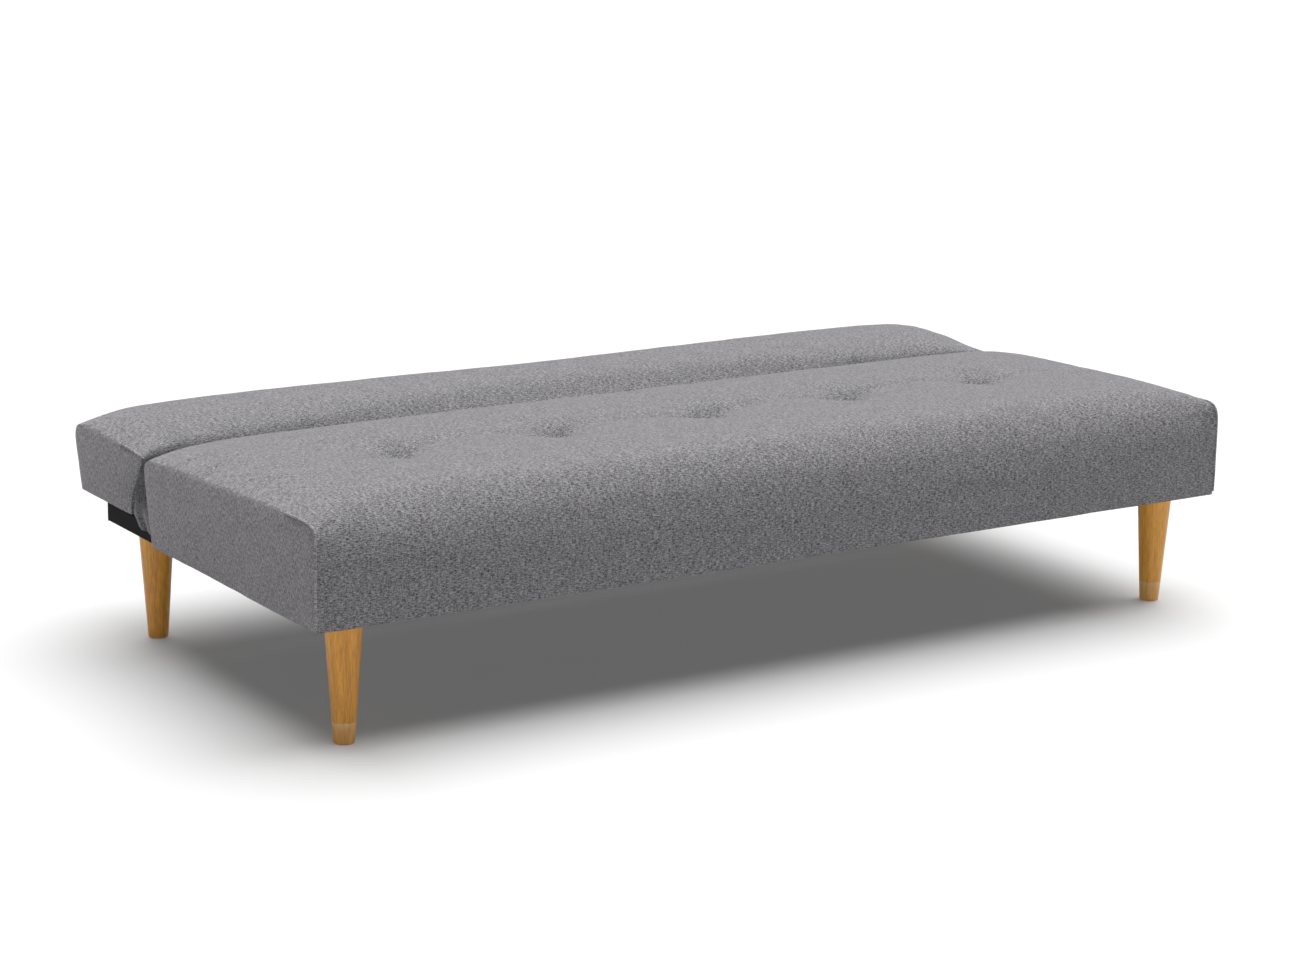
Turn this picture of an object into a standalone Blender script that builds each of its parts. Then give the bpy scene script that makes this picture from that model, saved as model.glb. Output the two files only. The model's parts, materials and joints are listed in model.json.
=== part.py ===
"""Click-clack sofa bed, modelled flat as a bed.

The frame stands at the middle of the sofa bed's footprint: +X runs along its length, +Y from the
seat's front edge to the rear edge of the back, and +Z up from the floor. All sizes are in metres.

The seat is fixed on a black steel and timber base with four turned legs. The back turns on two
ratchet hinges, one at each end, and lies on the rear of the side rails when it is flat.
"""
import math

import bmesh
import bpy
from mathutils import Matrix, Vector

# Overall sizes
LENGTH = 1.800                # over the two end panels
SEAT_DEPTH = 0.590            # along the seat's lower edge
HINGE_GAP = 0.0805            # between the lower edges of the seat and the back
BACK_DEPTH = 0.2055           # along the back's lower edge
LEG_HEIGHT = 0.200
SEAT_EDGE_TOP = 0.368         # top of the seat pad at its edges
SEAT_CROWN = 0.032            # how much higher the middle of the seat is
BACK_EDGE_TOP = 0.352
BACK_CROWN = 0.022
SEAT_REAR_LEAN = 0.0285       # how far the seat's rear face leans back on its way up
BACK_FRONT_LEAN = -0.0425     # the back's front face leans over the gap
BACK_REAR_LEAN = 0.0275
PAD_EDGE_RADIUS = 0.024
PAD_CORNER_RADIUS = 0.012

# Clearances
GAP = 0.0003                  # between fixed pieces that touch
EASING = 0.0015               # bevel on sawn timber
RUNNING_GAP = 0.0001          # radial, round pins
SLIDE_GAP = 0.0004            # between hinge plates that slide past each other
PAD_CLEARANCE = 0.0015        # between foam and cover
NOTCH_CLEARANCE = 0.0015      # between the rails and the notches in the seat cover
HINGE_ROOM = 0.004            # round the moving hinge plates, in the back's foam and cover
TUFT_ROOM = 0.001             # round the tufts, in the foam
BACK_REST_CLEARANCE = 0.0032  # between the rails and the back that lies on them

# Base
RAIL_WIDTH = 0.025
RAIL_HEIGHT = 0.032
RAIL_WALL = 0.0015
RAIL_INSET = 0.0055           # from the end panel's outer face to the rail
RAIL_FRONT_INSET = 0.012
RAIL_REACH = 0.1915           # how far the side rails stand out behind the seat
RAIL_ABOVE_LEGS = 0.0015
CAP_FLANGE = 0.0025
CAP_PLUG = 0.012
CAP_PLUG_CLEARANCE = 0.0012
RAIL_EDGE_RADIUS = 0.002
CROSS_RAIL_WIDTH = 0.068
MIDDLE_RAIL_WIDTH = 0.040
MIDDLE_RAIL_INSET = 0.390     # from the seat's front face to the middle cross rail's centre

# Legs
LEG_TOP_RADIUS = 0.0305
LEG_FOOT_RADIUS = 0.0170
LEG_FOOT_ROUNDING = 0.0025
LEG_TOP_CHAMFER = 0.001
FRONT_LEG_END_INSET = 0.079   # from the end panel to the leg's axis
REAR_LEG_END_INSET = 0.072
FRONT_LEG_INSET = 0.065       # from the seat's front face to the leg's axis
REAR_LEG_INSET = 0.1705       # from the rear face of the back, at its lower edge, ignoring its lean
LEG_PLATE_SIDE = 0.056
LEG_PLATE_THICKNESS = 0.0022
BOLT_RADIUS = 0.004
BOLT_IN_LEG = 0.032
BOLT_IN_RAIL = 0.024

# Upholstered frames
BOARD_THICKNESS = 0.020
SEAT_BOARD_HEIGHT = 0.060
SEAT_BOARD_INSET = 0.012
BACK_BOARD_HEIGHT = 0.045
BACK_BOARD_THICKNESS = 0.018
BACK_BOARD_INSET = 0.019      # from the back's front face to its front board
BACK_BOARD_REAR_INSET = 0.004
SECTOR_TO_BOARD = 0.001       # between the notched plate and the end board
STRETCHER_DROP = 0.021        # from the top of the boards to the top of the stretcher
COVER_THICKNESS = 0.002
DUST_COVER_THICKNESS = 0.001

# Springs and tufts
SEAT_SPRINGS = 5
SEAT_SPRING_SPACING = 0.330
BACK_SPRINGS = 3
BACK_SPRING_SPACING = 0.560
SPRING_WIRE_RADIUS = 0.00175
SPRING_HALF_WIDTH = 0.022
SPRING_PITCH = 0.048
SPRING_DROP = 0.007           # from the top of the boards to the wire's axis
TUFTS = 5
TUFT_SPACING = 0.2985
TUFT_INSET = 0.308            # from the seat's front face to the row of tufts
TUFT_CORD_RADIUS = 0.002
TUFT_TOGGLE_RADIUS = 0.011
TUFT_TOGGLE_HEIGHT = 0.004
TUFT_TOP_DEPTH = 0.026        # from the crown down to the top of the toggle

# Ratchet hinges
RECLINE_ANGLES = (0.0, 37.5, 75.0)   # degrees: bed, lounging and sitting
PIVOT_INSET = 0.0045          # from the back's front face, at its lower edge, to the pivot
PIVOT_RISE = 0.0732           # from the back's lower edge to the pivot
PIVOT_RADIUS = 0.005
PIVOT_HEAD_RADIUS = 0.008
PIVOT_HEAD_THICKNESS = 0.003
PLATE_THICKNESS = 0.003
LEAF_HALF_WIDTH = 0.014
LEAF_FOOT_REACH = 0.055
SECTOR_RADIUS = 0.020
SECTOR_ARM_LENGTH = 0.115
SECTOR_ARM_WIDTH = 0.031
NOTCH_DEPTH = 0.0036
NOTCH_HALF_ANGLE = 8.5        # degrees, at the mouth
PAWL_DIRECTION = 225.0        # degrees from +Y towards +Z, from the pivot to the pawl's tooth
PAWL_CLEARANCE = 0.0008       # between the released tooth and the sector
PAWL_REACH = 0.0225
PAWL_TOOTH_HEIGHT = 0.007     # from the pawl's centre line to the end of its tooth
PAWL_TOOTH_WIDTH = 0.003
PAWL_HALF_WIDTH = 0.003
PAWL_EYE_RADIUS = 0.005
PAWL_PIN_RADIUS = 0.0025
PAWL_THROW = 9.0              # degrees from released to engaged
PIN_OVERHANG = 0.0005         # how far the pins stand out inside the moving plates
LEAF_FOOT_LOW = 0.002         # from the rail's underside to the fixed plate's foot
LEAF_FOOT_HIGH = 0.004        # from the rail's top to the top of that foot
LEAF_FILLET_RISE = 0.010

# Gusset
GUSSET_CLEARANCE = 0.0015     # between the gusset and the pads
GUSSET_THICKNESS = 0.0015
GUSSET_RISE = 0.005           # from the rails' top to its lowest fold
CURTAIN_THICKNESS = 0.014     # over the pleats
CURTAIN_INSET = 0.006         # from the end panel's outer face
SLING_END_INSET = 0.004       # from the back's end board

# Levels and places that follow from the sizes above
HALF_LENGTH = LENGTH / 2
FRONT_LEG_X = HALF_LENGTH - FRONT_LEG_END_INSET
REAR_LEG_X = HALF_LENGTH - REAR_LEG_END_INSET
TOTAL_DEPTH = SEAT_DEPTH + HINGE_GAP + BACK_DEPTH + BACK_REAR_LEAN
FRONT_Y = -TOTAL_DEPTH / 2
SEAT_REAR_Y = FRONT_Y + SEAT_DEPTH
BACK_FRONT_Y = SEAT_REAR_Y + HINGE_GAP
BACK_REAR_Y = BACK_FRONT_Y + BACK_DEPTH
RAIL_BOTTOM = LEG_HEIGHT + RAIL_ABOVE_LEGS
RAIL_TOP = RAIL_BOTTOM + RAIL_HEIGHT
RAIL_OUTER_X = HALF_LENGTH - RAIL_INSET
RAIL_INNER_X = RAIL_OUTER_X - RAIL_WIDTH
CROSS_RAIL_BOTTOM = LEG_HEIGHT + LEG_PLATE_THICKNESS + 2 * GAP
SEAT_BOTTOM = LEG_HEIGHT
SEAT_DUST_BOTTOM = RAIL_TOP + GAP
SEAT_BOARD_BOTTOM = SEAT_DUST_BOTTOM + DUST_COVER_THICKNESS + GAP
SEAT_BOARD_TOP = SEAT_BOARD_BOTTOM + SEAT_BOARD_HEIGHT
BACK_BOTTOM = RAIL_TOP + BACK_REST_CLEARANCE
BACK_BOARD_BOTTOM = BACK_BOTTOM + DUST_COVER_THICKNESS + GAP
BACK_BOARD_TOP = BACK_BOARD_BOTTOM + BACK_BOARD_HEIGHT
PIVOT_Y = BACK_FRONT_Y + PIVOT_INSET
PIVOT_Z = BACK_BOTTOM + PIVOT_RISE
LEAF_X = RAIL_INNER_X - GAP - PLATE_THICKNESS / 2
SECTOR_X = LEAF_X - PLATE_THICKNESS - SLIDE_GAP
BACK_BOARD_OUTER_X = SECTOR_X - PLATE_THICKNESS / 2 - SECTOR_TO_BOARD
PAD_SHRINK = COVER_THICKNESS + PAD_CLEARANCE
FRONT_LEG_Y = FRONT_Y + FRONT_LEG_INSET
REAR_LEG_Y = FRONT_Y + TOTAL_DEPTH - REAR_LEG_INSET
SIDES = {"left": -1, "right": 1}

CIRCLE_STEPS = 24

COLOURS = {
    # slot: (red, green, blue, roughness, metallic)
    "cover_fabric": (0.335, 0.33, 0.35, 0.95, 0.0),
    "gusset_fabric": (0.13, 0.13, 0.135, 0.95, 0.0),
    "dust_fabric": (0.02, 0.02, 0.02, 0.9, 0.0),
    "foam": (0.85, 0.80, 0.62, 0.9, 0.0),
    "leg_wood": (0.50, 0.25, 0.075, 0.45, 0.0),
    "frame_wood": (0.66, 0.48, 0.28, 0.7, 0.0),
    "black_rail": (0.012, 0.012, 0.013, 0.5, 0.0),
    "black_plastic": (0.015, 0.015, 0.015, 0.55, 0.0),
    "hinge_steel": (0.42, 0.42, 0.43, 0.4, 1.0),
    "spring_steel": (0.30, 0.30, 0.31, 0.35, 1.0),
    "tuft_cord": (0.75, 0.73, 0.68, 0.8, 0.0),
}

PARTS = "sofa_bed"
CUTTERS = "cutters"


def clear_scene():
    for obj in list(bpy.data.objects):
        bpy.data.objects.remove(obj, do_unlink=True)


def collection(name):
    found = bpy.data.collections.get(name)
    if found is None:
        found = bpy.data.collections.new(name)
        bpy.context.scene.collection.children.link(found)
    return found


def material(slot):
    found = bpy.data.materials.get(slot)
    if found is None:
        red, green, blue, roughness, metallic = COLOURS[slot]
        found = bpy.data.materials.new(slot)
        found.use_nodes = True
        shader = found.node_tree.nodes["Principled BSDF"]
        shader.inputs["Base Color"].default_value = (red, green, blue, 1.0)
        shader.inputs["Roughness"].default_value = roughness
        shader.inputs["Metallic"].default_value = metallic
        found.diffuse_color = (red, green, blue, 1.0)
    return found


def add_part(name, data, slot, location=(0, 0, 0)):
    obj = bpy.data.objects.new(name, data)
    obj.location = location
    obj.data.materials.append(material(slot))
    collection(PARTS).objects.link(obj)
    return obj


def add_cutter(name, data, location=(0, 0, 0)):
    obj = bpy.data.objects.new(name, data)
    obj.location = location
    obj.hide_render = True
    obj.display_type = "WIRE"
    collection(CUTTERS).objects.link(obj)
    return obj


def mesh_from(bm, name):
    mesh = bpy.data.meshes.new(name)
    bm.to_mesh(mesh)
    bm.free()
    return mesh


def box_mesh(name, size):
    bm = bmesh.new()
    bmesh.ops.create_cube(bm, size=1.0, matrix=Matrix.Diagonal((*size, 1.0)))
    return mesh_from(bm, name)


def box_between(name, slot, low, high, bevel=0.0):
    """A box given by two corners, its edges eased by bevel."""
    low, high = Vector(low), Vector(high)
    obj = add_part(name, box_mesh(name, high - low), slot, (low + high) / 2)
    if bevel:
        add_bevel(obj, bevel)
    return obj


def add_bevel(obj, width, segments=1):
    modifier = obj.modifiers.new("eased_edges", "BEVEL")
    modifier.width = width
    modifier.segments = segments
    modifier.limit_method = "ANGLE"


def cut(obj, cutter, solver="EXACT"):
    modifier = obj.modifiers.new("cut_" + cutter.name, "BOOLEAN")
    modifier.operation = "DIFFERENCE"
    modifier.solver = solver
    modifier.object = cutter


def box_cutter(name, low, high):
    low, high = Vector(low), Vector(high)
    return add_cutter(name, box_mesh(name, high - low), (low + high) / 2)


def mirrored_range(side, inner, outer):
    """Lowest and highest X of a piece that lies between two distances from the middle."""
    return sorted((side * inner, side * outer))


def turned_mesh(name, profile):
    """A closed body turned about Z from (radius, height) points that run down its outer side."""
    mesh = bpy.data.meshes.new(name + "_profile")
    points = [(radius, 0.0, height) for radius, height in profile]
    mesh.from_pydata(points, [(i, i + 1) for i in range(len(points) - 1)], [])
    blank = bpy.data.objects.new(name + "_blank", mesh)
    collection(CUTTERS).objects.link(blank)
    screw = blank.modifiers.new("turn", "SCREW")
    screw.steps = screw.render_steps = CIRCLE_STEPS
    screw.use_merge_vertices = True
    screw.merge_threshold = 0.00005
    depsgraph = bpy.context.evaluated_depsgraph_get()
    turned = bpy.data.meshes.new_from_object(blank.evaluated_get(depsgraph))
    bpy.data.objects.remove(blank)
    turned.name = name
    return turned


def turned_part(name, slot, profile, location, rotation=(0, 0, 0)):
    obj = add_part(name, turned_mesh(name, profile), slot, location)
    obj.rotation_euler = rotation
    obj.data.shade_smooth()
    obj.data.set_sharp_from_angle(angle=math.radians(40))
    return obj


def circle(centre, radius):
    """Corners of a round hole or boss in the YZ plane."""
    steps = range(CIRCLE_STEPS)
    turns = [2 * math.pi * step / CIRCLE_STEPS for step in steps]
    return [(centre[0] + radius * math.cos(a), centre[1] + radius * math.sin(a)) for a in turns]


def hole(centre, pin_radius):
    """A faceted hole that leaves the running gap round a pin."""
    return circle(centre, (pin_radius + RUNNING_GAP) / math.cos(math.pi / CIRCLE_STEPS))


def plate_data(name, outlines, thickness):
    """A flat outline with its holes, in local XY, thickness centred on local Z."""
    curve = bpy.data.curves.new(name, "CURVE")
    curve.dimensions = "2D"
    curve.fill_mode = "BOTH"
    curve.extrude = thickness / 2
    for outline in outlines:
        spline = curve.splines.new("POLY")
        spline.points.add(len(outline) - 1)
        for point, (across, up) in zip(spline.points, outline):
            point.co = (across, up, 0.0, 1.0)
        spline.use_cyclic_u = True
    return curve


def plate(name, slot, outlines, x, thickness, origin=(0.0, 0.0)):
    """A plate in a YZ plane. Its outlines are (y, z) points measured from origin."""
    obj = add_part(name, plate_data(name, outlines, thickness), slot, (x, *origin))
    obj.rotation_euler = (math.pi / 2, 0, math.pi / 2)
    return obj


class Pad:
    """The outer shape of a crowned pad whose front and rear faces lean."""

    def __init__(self, front, rear, bottom, edge_top, crown, front_lean, rear_lean):
        self.front, self.rear = front, rear
        self.bottom, self.edge_top, self.crown = bottom, edge_top, crown
        self.front_lean, self.rear_lean = front_lean, rear_lean
        self.wall_top = edge_top - PAD_EDGE_RADIUS

    def lean_share(self, height):
        return min(1.0, (height - self.bottom) / (self.wall_top - self.bottom))

    def front_at(self, height):
        return self.front + self.front_lean * self.lean_share(height)

    def rear_at(self, height):
        return self.rear + self.rear_lean * self.lean_share(height)

    def mesh(self, name, shrink, bottom, closed):
        """A body this much smaller all round, with its own underside or none."""
        half_length = HALF_LENGTH - shrink
        front, rear, top = self.front + shrink, self.rear - shrink, self.edge_top - shrink
        bm = bmesh.new()
        size = Vector((2 * half_length, rear - front, top - bottom))
        centre = Vector((0, (front + rear) / 2, (bottom + top) / 2))
        place = Matrix.Translation(centre) @ Matrix.Diagonal((*size, 1.0))
        bmesh.ops.create_cube(bm, size=1.0, matrix=place)
        corners = [e for e in bm.edges if abs(e.verts[0].co.z - e.verts[1].co.z) > size.z / 2]
        bmesh.ops.bevel(bm, geom=corners, offset=PAD_CORNER_RADIUS, segments=2, profile=0.5,
                        affect="EDGES")
        upper = [e for e in bm.edges if all(v.co.z > top - 1e-5 for v in e.verts)]
        bmesh.ops.bevel(bm, geom=upper, offset=PAD_EDGE_RADIUS, segments=3, profile=0.5,
                        affect="EDGES")
        if not closed:
            under = [f for f in bm.faces if all(v.co.z < bottom + 1e-5 for v in f.verts)]
            bmesh.ops.delete(bm, geom=under, context="FACES")
        for share in (-0.9, -0.66, -0.33, 0.0, 0.33, 0.66, 0.9):
            bisect(bm, (share * half_length, 0, 0), (1, 0, 0))
        for share in (0.12, 0.3, 0.5, 0.7, 0.88):
            bisect(bm, (0, front + share * size.y, 0), (0, 1, 0))
        for vert in bm.verts:
            across = vert.co.x / half_length
            along = 2 * (vert.co.y - centre.y) / size.y
            lean = (1 - along) * self.front_lean + (1 + along) * self.rear_lean
            vert.co.y += self.lean_share(vert.co.z) * lean / 2
            rise = (vert.co.z - bottom) / size.z
            vert.co.z += self.crown * (1 - across ** 6) * (1 - along ** 4) * rise
        bmesh.ops.recalc_face_normals(bm, faces=bm.faces)
        return mesh_from(bm, name)

    def cover(self, name):
        """A cloth shell, open underneath."""
        obj = add_part(name, self.mesh(name, 0.0, self.bottom, closed=False), "cover_fabric")
        shell = obj.modifiers.new("cloth", "SOLIDIFY")
        shell.thickness = COVER_THICKNESS
        shell.offset = -1
        return obj

    def foam(self, name, bottom):
        """Foam that fills the upper part of the cover and stands on the boards' tops."""
        return add_part(name, self.mesh(name, PAD_SHRINK, bottom, closed=True), "foam")


def bisect(bm, point, normal):
    geometry = bm.verts[:] + bm.edges[:] + bm.faces[:]
    bmesh.ops.bisect_plane(bm, geom=geometry, dist=1e-6, plane_co=point, plane_no=normal)


SEAT_PAD = Pad(FRONT_Y, SEAT_REAR_Y, SEAT_BOTTOM, SEAT_EDGE_TOP, SEAT_CROWN, 0.0, SEAT_REAR_LEAN)
BACK_PAD = Pad(BACK_FRONT_Y, BACK_REAR_Y, BACK_BOTTOM, BACK_EDGE_TOP, BACK_CROWN, BACK_FRONT_LEAN,
               BACK_REAR_LEAN)


# Base -------------------------------------------------------------------------------------------

def side_rail(name, side):
    """A box-section rail, open at both ends, with its rear end capped."""
    front, rear = FRONT_Y + RAIL_FRONT_INSET, SEAT_REAR_Y + RAIL_REACH - CAP_FLANGE - GAP
    bm = bmesh.new()
    size = (RAIL_WIDTH, rear - front, RAIL_HEIGHT, 1.0)
    bmesh.ops.create_cube(bm, size=1.0, matrix=Matrix.Diagonal(size))
    ends = [f for f in bm.faces if abs(f.normal.y) > 0.5]
    bmesh.ops.delete(bm, geom=ends, context="FACES")
    centre = (side * (RAIL_INNER_X + RAIL_OUTER_X) / 2, (front + rear) / 2, (RAIL_BOTTOM + RAIL_TOP) / 2)
    obj = add_part(f"side_rail_{name}", mesh_from(bm, f"side_rail_{name}"), "black_rail", centre)
    add_bevel(obj, RAIL_EDGE_RADIUS, segments=2)
    wall = obj.modifiers.new("wall", "SOLIDIFY")
    wall.thickness = RAIL_WALL
    wall.offset = -1
    wall.use_even_offset = True


def rail_cap(name, side):
    """A plastic plug with a flange as large as the rail's section."""
    flange_front = SEAT_REAR_Y + RAIL_REACH - CAP_FLANGE
    inset = RAIL_WALL + CAP_PLUG_CLEARANCE
    low_x, high_x = mirrored_range(side, RAIL_INNER_X, RAIL_OUTER_X)
    obj = box_between(f"rail_cap_{name}", "black_plastic", (low_x, flange_front, RAIL_BOTTOM),
                      (high_x, flange_front + CAP_FLANGE, RAIL_TOP))
    plug = box_cutter(f"rail_cap_plug_{name}",
                      (low_x + inset, flange_front - CAP_PLUG, RAIL_BOTTOM + inset),
                      (high_x - inset, flange_front + CAP_FLANGE / 2, RAIL_TOP - inset))
    union = obj.modifiers.new("plug", "BOOLEAN")
    union.operation = "UNION"
    union.object = plug


def cross_rail(name, centre_y, width, leg_x=None):
    """A timber rail between the side rails, bored for the leg bolts where it carries legs."""
    half = RAIL_INNER_X - GAP
    obj = box_between(name, "black_rail", (-half, centre_y - width / 2, CROSS_RAIL_BOTTOM),
                      (half, centre_y + width / 2, RAIL_TOP), bevel=EASING)
    if leg_x is None:
        return
    bore = BOLT_RADIUS + 2 * GAP
    bore_top, bore_start = CROSS_RAIL_BOTTOM + BOLT_IN_RAIL + 2 * GAP, CROSS_RAIL_BOTTOM - bore
    profile = [(0, bore_top), (bore, bore_top), (bore, bore_start), (0, bore_start)]
    for side_name, side in SIDES.items():
        mesh = turned_mesh(f"{name}_bore_{side_name}", profile)
        cut(obj, add_cutter(f"{name}_bore_{side_name}", mesh, (side * leg_x, centre_y, 0)))


def leg_set(name, x, y):
    """A turned leg, the plate that it meets and the bolt that holds it."""
    socket = BOLT_RADIUS + GAP
    socket_bottom = LEG_HEIGHT - BOLT_IN_LEG - GAP
    taper = (LEG_TOP_RADIUS - LEG_FOOT_RADIUS) / LEG_HEIGHT
    profile = [
        (0, socket_bottom), (socket, socket_bottom), (socket, LEG_HEIGHT),
        (LEG_TOP_RADIUS - LEG_TOP_CHAMFER, LEG_HEIGHT), (LEG_TOP_RADIUS, LEG_HEIGHT - LEG_TOP_CHAMFER),
        (LEG_FOOT_RADIUS + taper * LEG_FOOT_ROUNDING, LEG_FOOT_ROUNDING),
        (LEG_FOOT_RADIUS - 0.3 * LEG_FOOT_ROUNDING, 0.3 * LEG_FOOT_ROUNDING),
        (LEG_FOOT_RADIUS - LEG_FOOT_ROUNDING, 0), (0, 0)]
    turned_part(f"leg_{name}", "leg_wood", profile, (x, y, 0))
    bolt_top = CROSS_RAIL_BOTTOM + BOLT_IN_RAIL
    turned_part(f"leg_bolt_{name}", "hinge_steel",
                [(0, bolt_top), (BOLT_RADIUS, bolt_top), (BOLT_RADIUS, LEG_HEIGHT - BOLT_IN_LEG),
                 (0, LEG_HEIGHT - BOLT_IN_LEG)], (x, y, 0))
    half = LEG_PLATE_SIDE / 2
    square = [(-half, -half), (half, -half), (half, half), (-half, half)]
    height = LEG_HEIGHT + GAP + LEG_PLATE_THICKNESS / 2
    outlines = [square, circle((0, 0), BOLT_RADIUS + 2 * GAP)]
    data = plate_data(f"leg_plate_{name}", outlines, LEG_PLATE_THICKNESS)
    add_part(f"leg_plate_{name}", data, "hinge_steel", (x, y, height))


def build_base():
    for name, side in SIDES.items():
        side_rail(name, side)
        rail_cap(name, side)
        leg_set(f"front_{name}", side * FRONT_LEG_X, FRONT_LEG_Y)
        leg_set(f"rear_{name}", side * REAR_LEG_X, REAR_LEG_Y)
    cross_rail("front_cross_rail", FRONT_LEG_Y, CROSS_RAIL_WIDTH, FRONT_LEG_X)
    cross_rail("rear_cross_rail", REAR_LEG_Y, CROSS_RAIL_WIDTH, REAR_LEG_X)
    cross_rail("middle_cross_rail", FRONT_Y + MIDDLE_RAIL_INSET, MIDDLE_RAIL_WIDTH)


# Upholstered frames -----------------------------------------------------------------------------

def board_frame(prefix, outer_x, front, rear, bottom, height, thickness):
    """Two long boards between two end boards. Returns them for parenting."""
    top = bottom + height
    boards = []
    for name, side in SIDES.items():
        low_x, high_x = mirrored_range(side, outer_x - thickness, outer_x)
        boards.append(box_between(f"{prefix}_end_board_{name}", "frame_wood",
                                  (low_x, front, bottom), (high_x, rear, top), bevel=EASING))
    half = outer_x - thickness - GAP
    for name, start in (("front", front), ("rear", rear - thickness)):
        boards.append(box_between(f"{prefix}_{name}_board", "frame_wood",
                                  (-half, start, bottom), (half, start + thickness, top), bevel=EASING))
    return boards


def spring(name, x, front, rear, height):
    """A sinuous spring: a flat zigzag of wire with round bends, from board to board."""
    length = rear - front - 2 * (SPRING_WIRE_RADIUS + GAP)
    waves = round(length / SPRING_PITCH)
    curve = bpy.data.curves.new(name, "CURVE")
    curve.dimensions = "3D"
    curve.bevel_depth = SPRING_WIRE_RADIUS
    curve.bevel_resolution = 1
    curve.use_fill_caps = True
    steps_per_wave = 6
    steps = waves * steps_per_wave
    spline = curve.splines.new("POLY")
    spline.points.add(steps)
    for step, point in enumerate(spline.points):
        turn = 2 * math.pi * step / steps_per_wave
        along = front + SPRING_WIRE_RADIUS + GAP + length * step / steps
        point.co = (SPRING_HALF_WIDTH * math.sin(turn), along, 0.0, 1.0)
    return add_part(name, curve, "spring_steel", (x, 0, height))


def spring_row(prefix, count, spacing, front, rear, height):
    middle = (count - 1) / 2
    return [spring(f"{prefix}_spring_{i + 1}", (i - middle) * spacing, front, rear, height)
            for i in range(count)]


def tuft_profile(bottom, top):
    """A cord with a toggle at each end."""
    cord, toggle = TUFT_CORD_RADIUS, TUFT_TOGGLE_RADIUS
    low_toggle_top = bottom + TUFT_TOGGLE_HEIGHT
    high_toggle_bottom = top - TUFT_TOGGLE_HEIGHT
    return [(0, top), (toggle, top), (toggle, high_toggle_bottom), (cord, high_toggle_bottom),
            (cord, low_toggle_top), (toggle, low_toggle_top), (toggle, bottom), (0, bottom)]


def tufts(foam):
    """Cords that pull the seat's middle down, each in its own stepped hole in the foam."""
    crown_top = SEAT_EDGE_TOP + SEAT_CROWN
    foam_bottom = SEAT_BOARD_TOP + GAP
    cord_bottom = foam_bottom - GAP - TUFT_TOGGLE_HEIGHT
    cord_top = crown_top - TUFT_TOP_DEPTH
    bore, mouth = TUFT_CORD_RADIUS + TUFT_ROOM, TUFT_TOGGLE_RADIUS + TUFT_ROOM
    ledge = cord_top - TUFT_TOGGLE_HEIGHT - TUFT_ROOM
    room = [(0, crown_top), (mouth, crown_top), (mouth, ledge), (bore, ledge),
            (bore, foam_bottom - bore), (0, foam_bottom - bore)]
    y = FRONT_Y + TUFT_INSET
    for i in range(TUFTS):
        x = (i - (TUFTS - 1) / 2) * TUFT_SPACING
        turned_part(f"tuft_tie_{i + 1}", "tuft_cord", tuft_profile(cord_bottom, cord_top), (x, y, 0))
        cut(foam, add_cutter(f"tuft_room_{i + 1}", turned_mesh(f"tuft_room_{i + 1}", room), (x, y, 0)))


def build_seat():
    cover = SEAT_PAD.cover("seat_cover")
    for name, side in SIDES.items():
        low_x, high_x = mirrored_range(side, RAIL_INNER_X - PLATE_THICKNESS - NOTCH_CLEARANCE,
                                       RAIL_OUTER_X + NOTCH_CLEARANCE)
        cut(cover, box_cutter(f"rail_notch_{name}",
                              (low_x, SEAT_REAR_Y - 0.015, SEAT_BOTTOM - 0.01),
                              (high_x, SEAT_REAR_Y + 0.03, RAIL_TOP + NOTCH_CLEARANCE)))
    foam = SEAT_PAD.foam("seat_foam", SEAT_BOARD_TOP + GAP)
    tufts(foam)
    front, rear = FRONT_Y + SEAT_BOARD_INSET, SEAT_REAR_Y - SEAT_BOARD_INSET
    outer_x = HALF_LENGTH - SEAT_BOARD_INSET
    board_frame("seat", outer_x, front, rear, SEAT_BOARD_BOTTOM, SEAT_BOARD_HEIGHT, BOARD_THICKNESS)
    spring_row("seat", SEAT_SPRINGS, SEAT_SPRING_SPACING, front + BOARD_THICKNESS, rear - BOARD_THICKNESS,
               SEAT_BOARD_TOP - SPRING_DROP)
    box_between("seat_dust_cover", "dust_fabric", (-outer_x, front, SEAT_DUST_BOTTOM),
                (outer_x, rear, SEAT_DUST_BOTTOM + DUST_COVER_THICKNESS))


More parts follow.
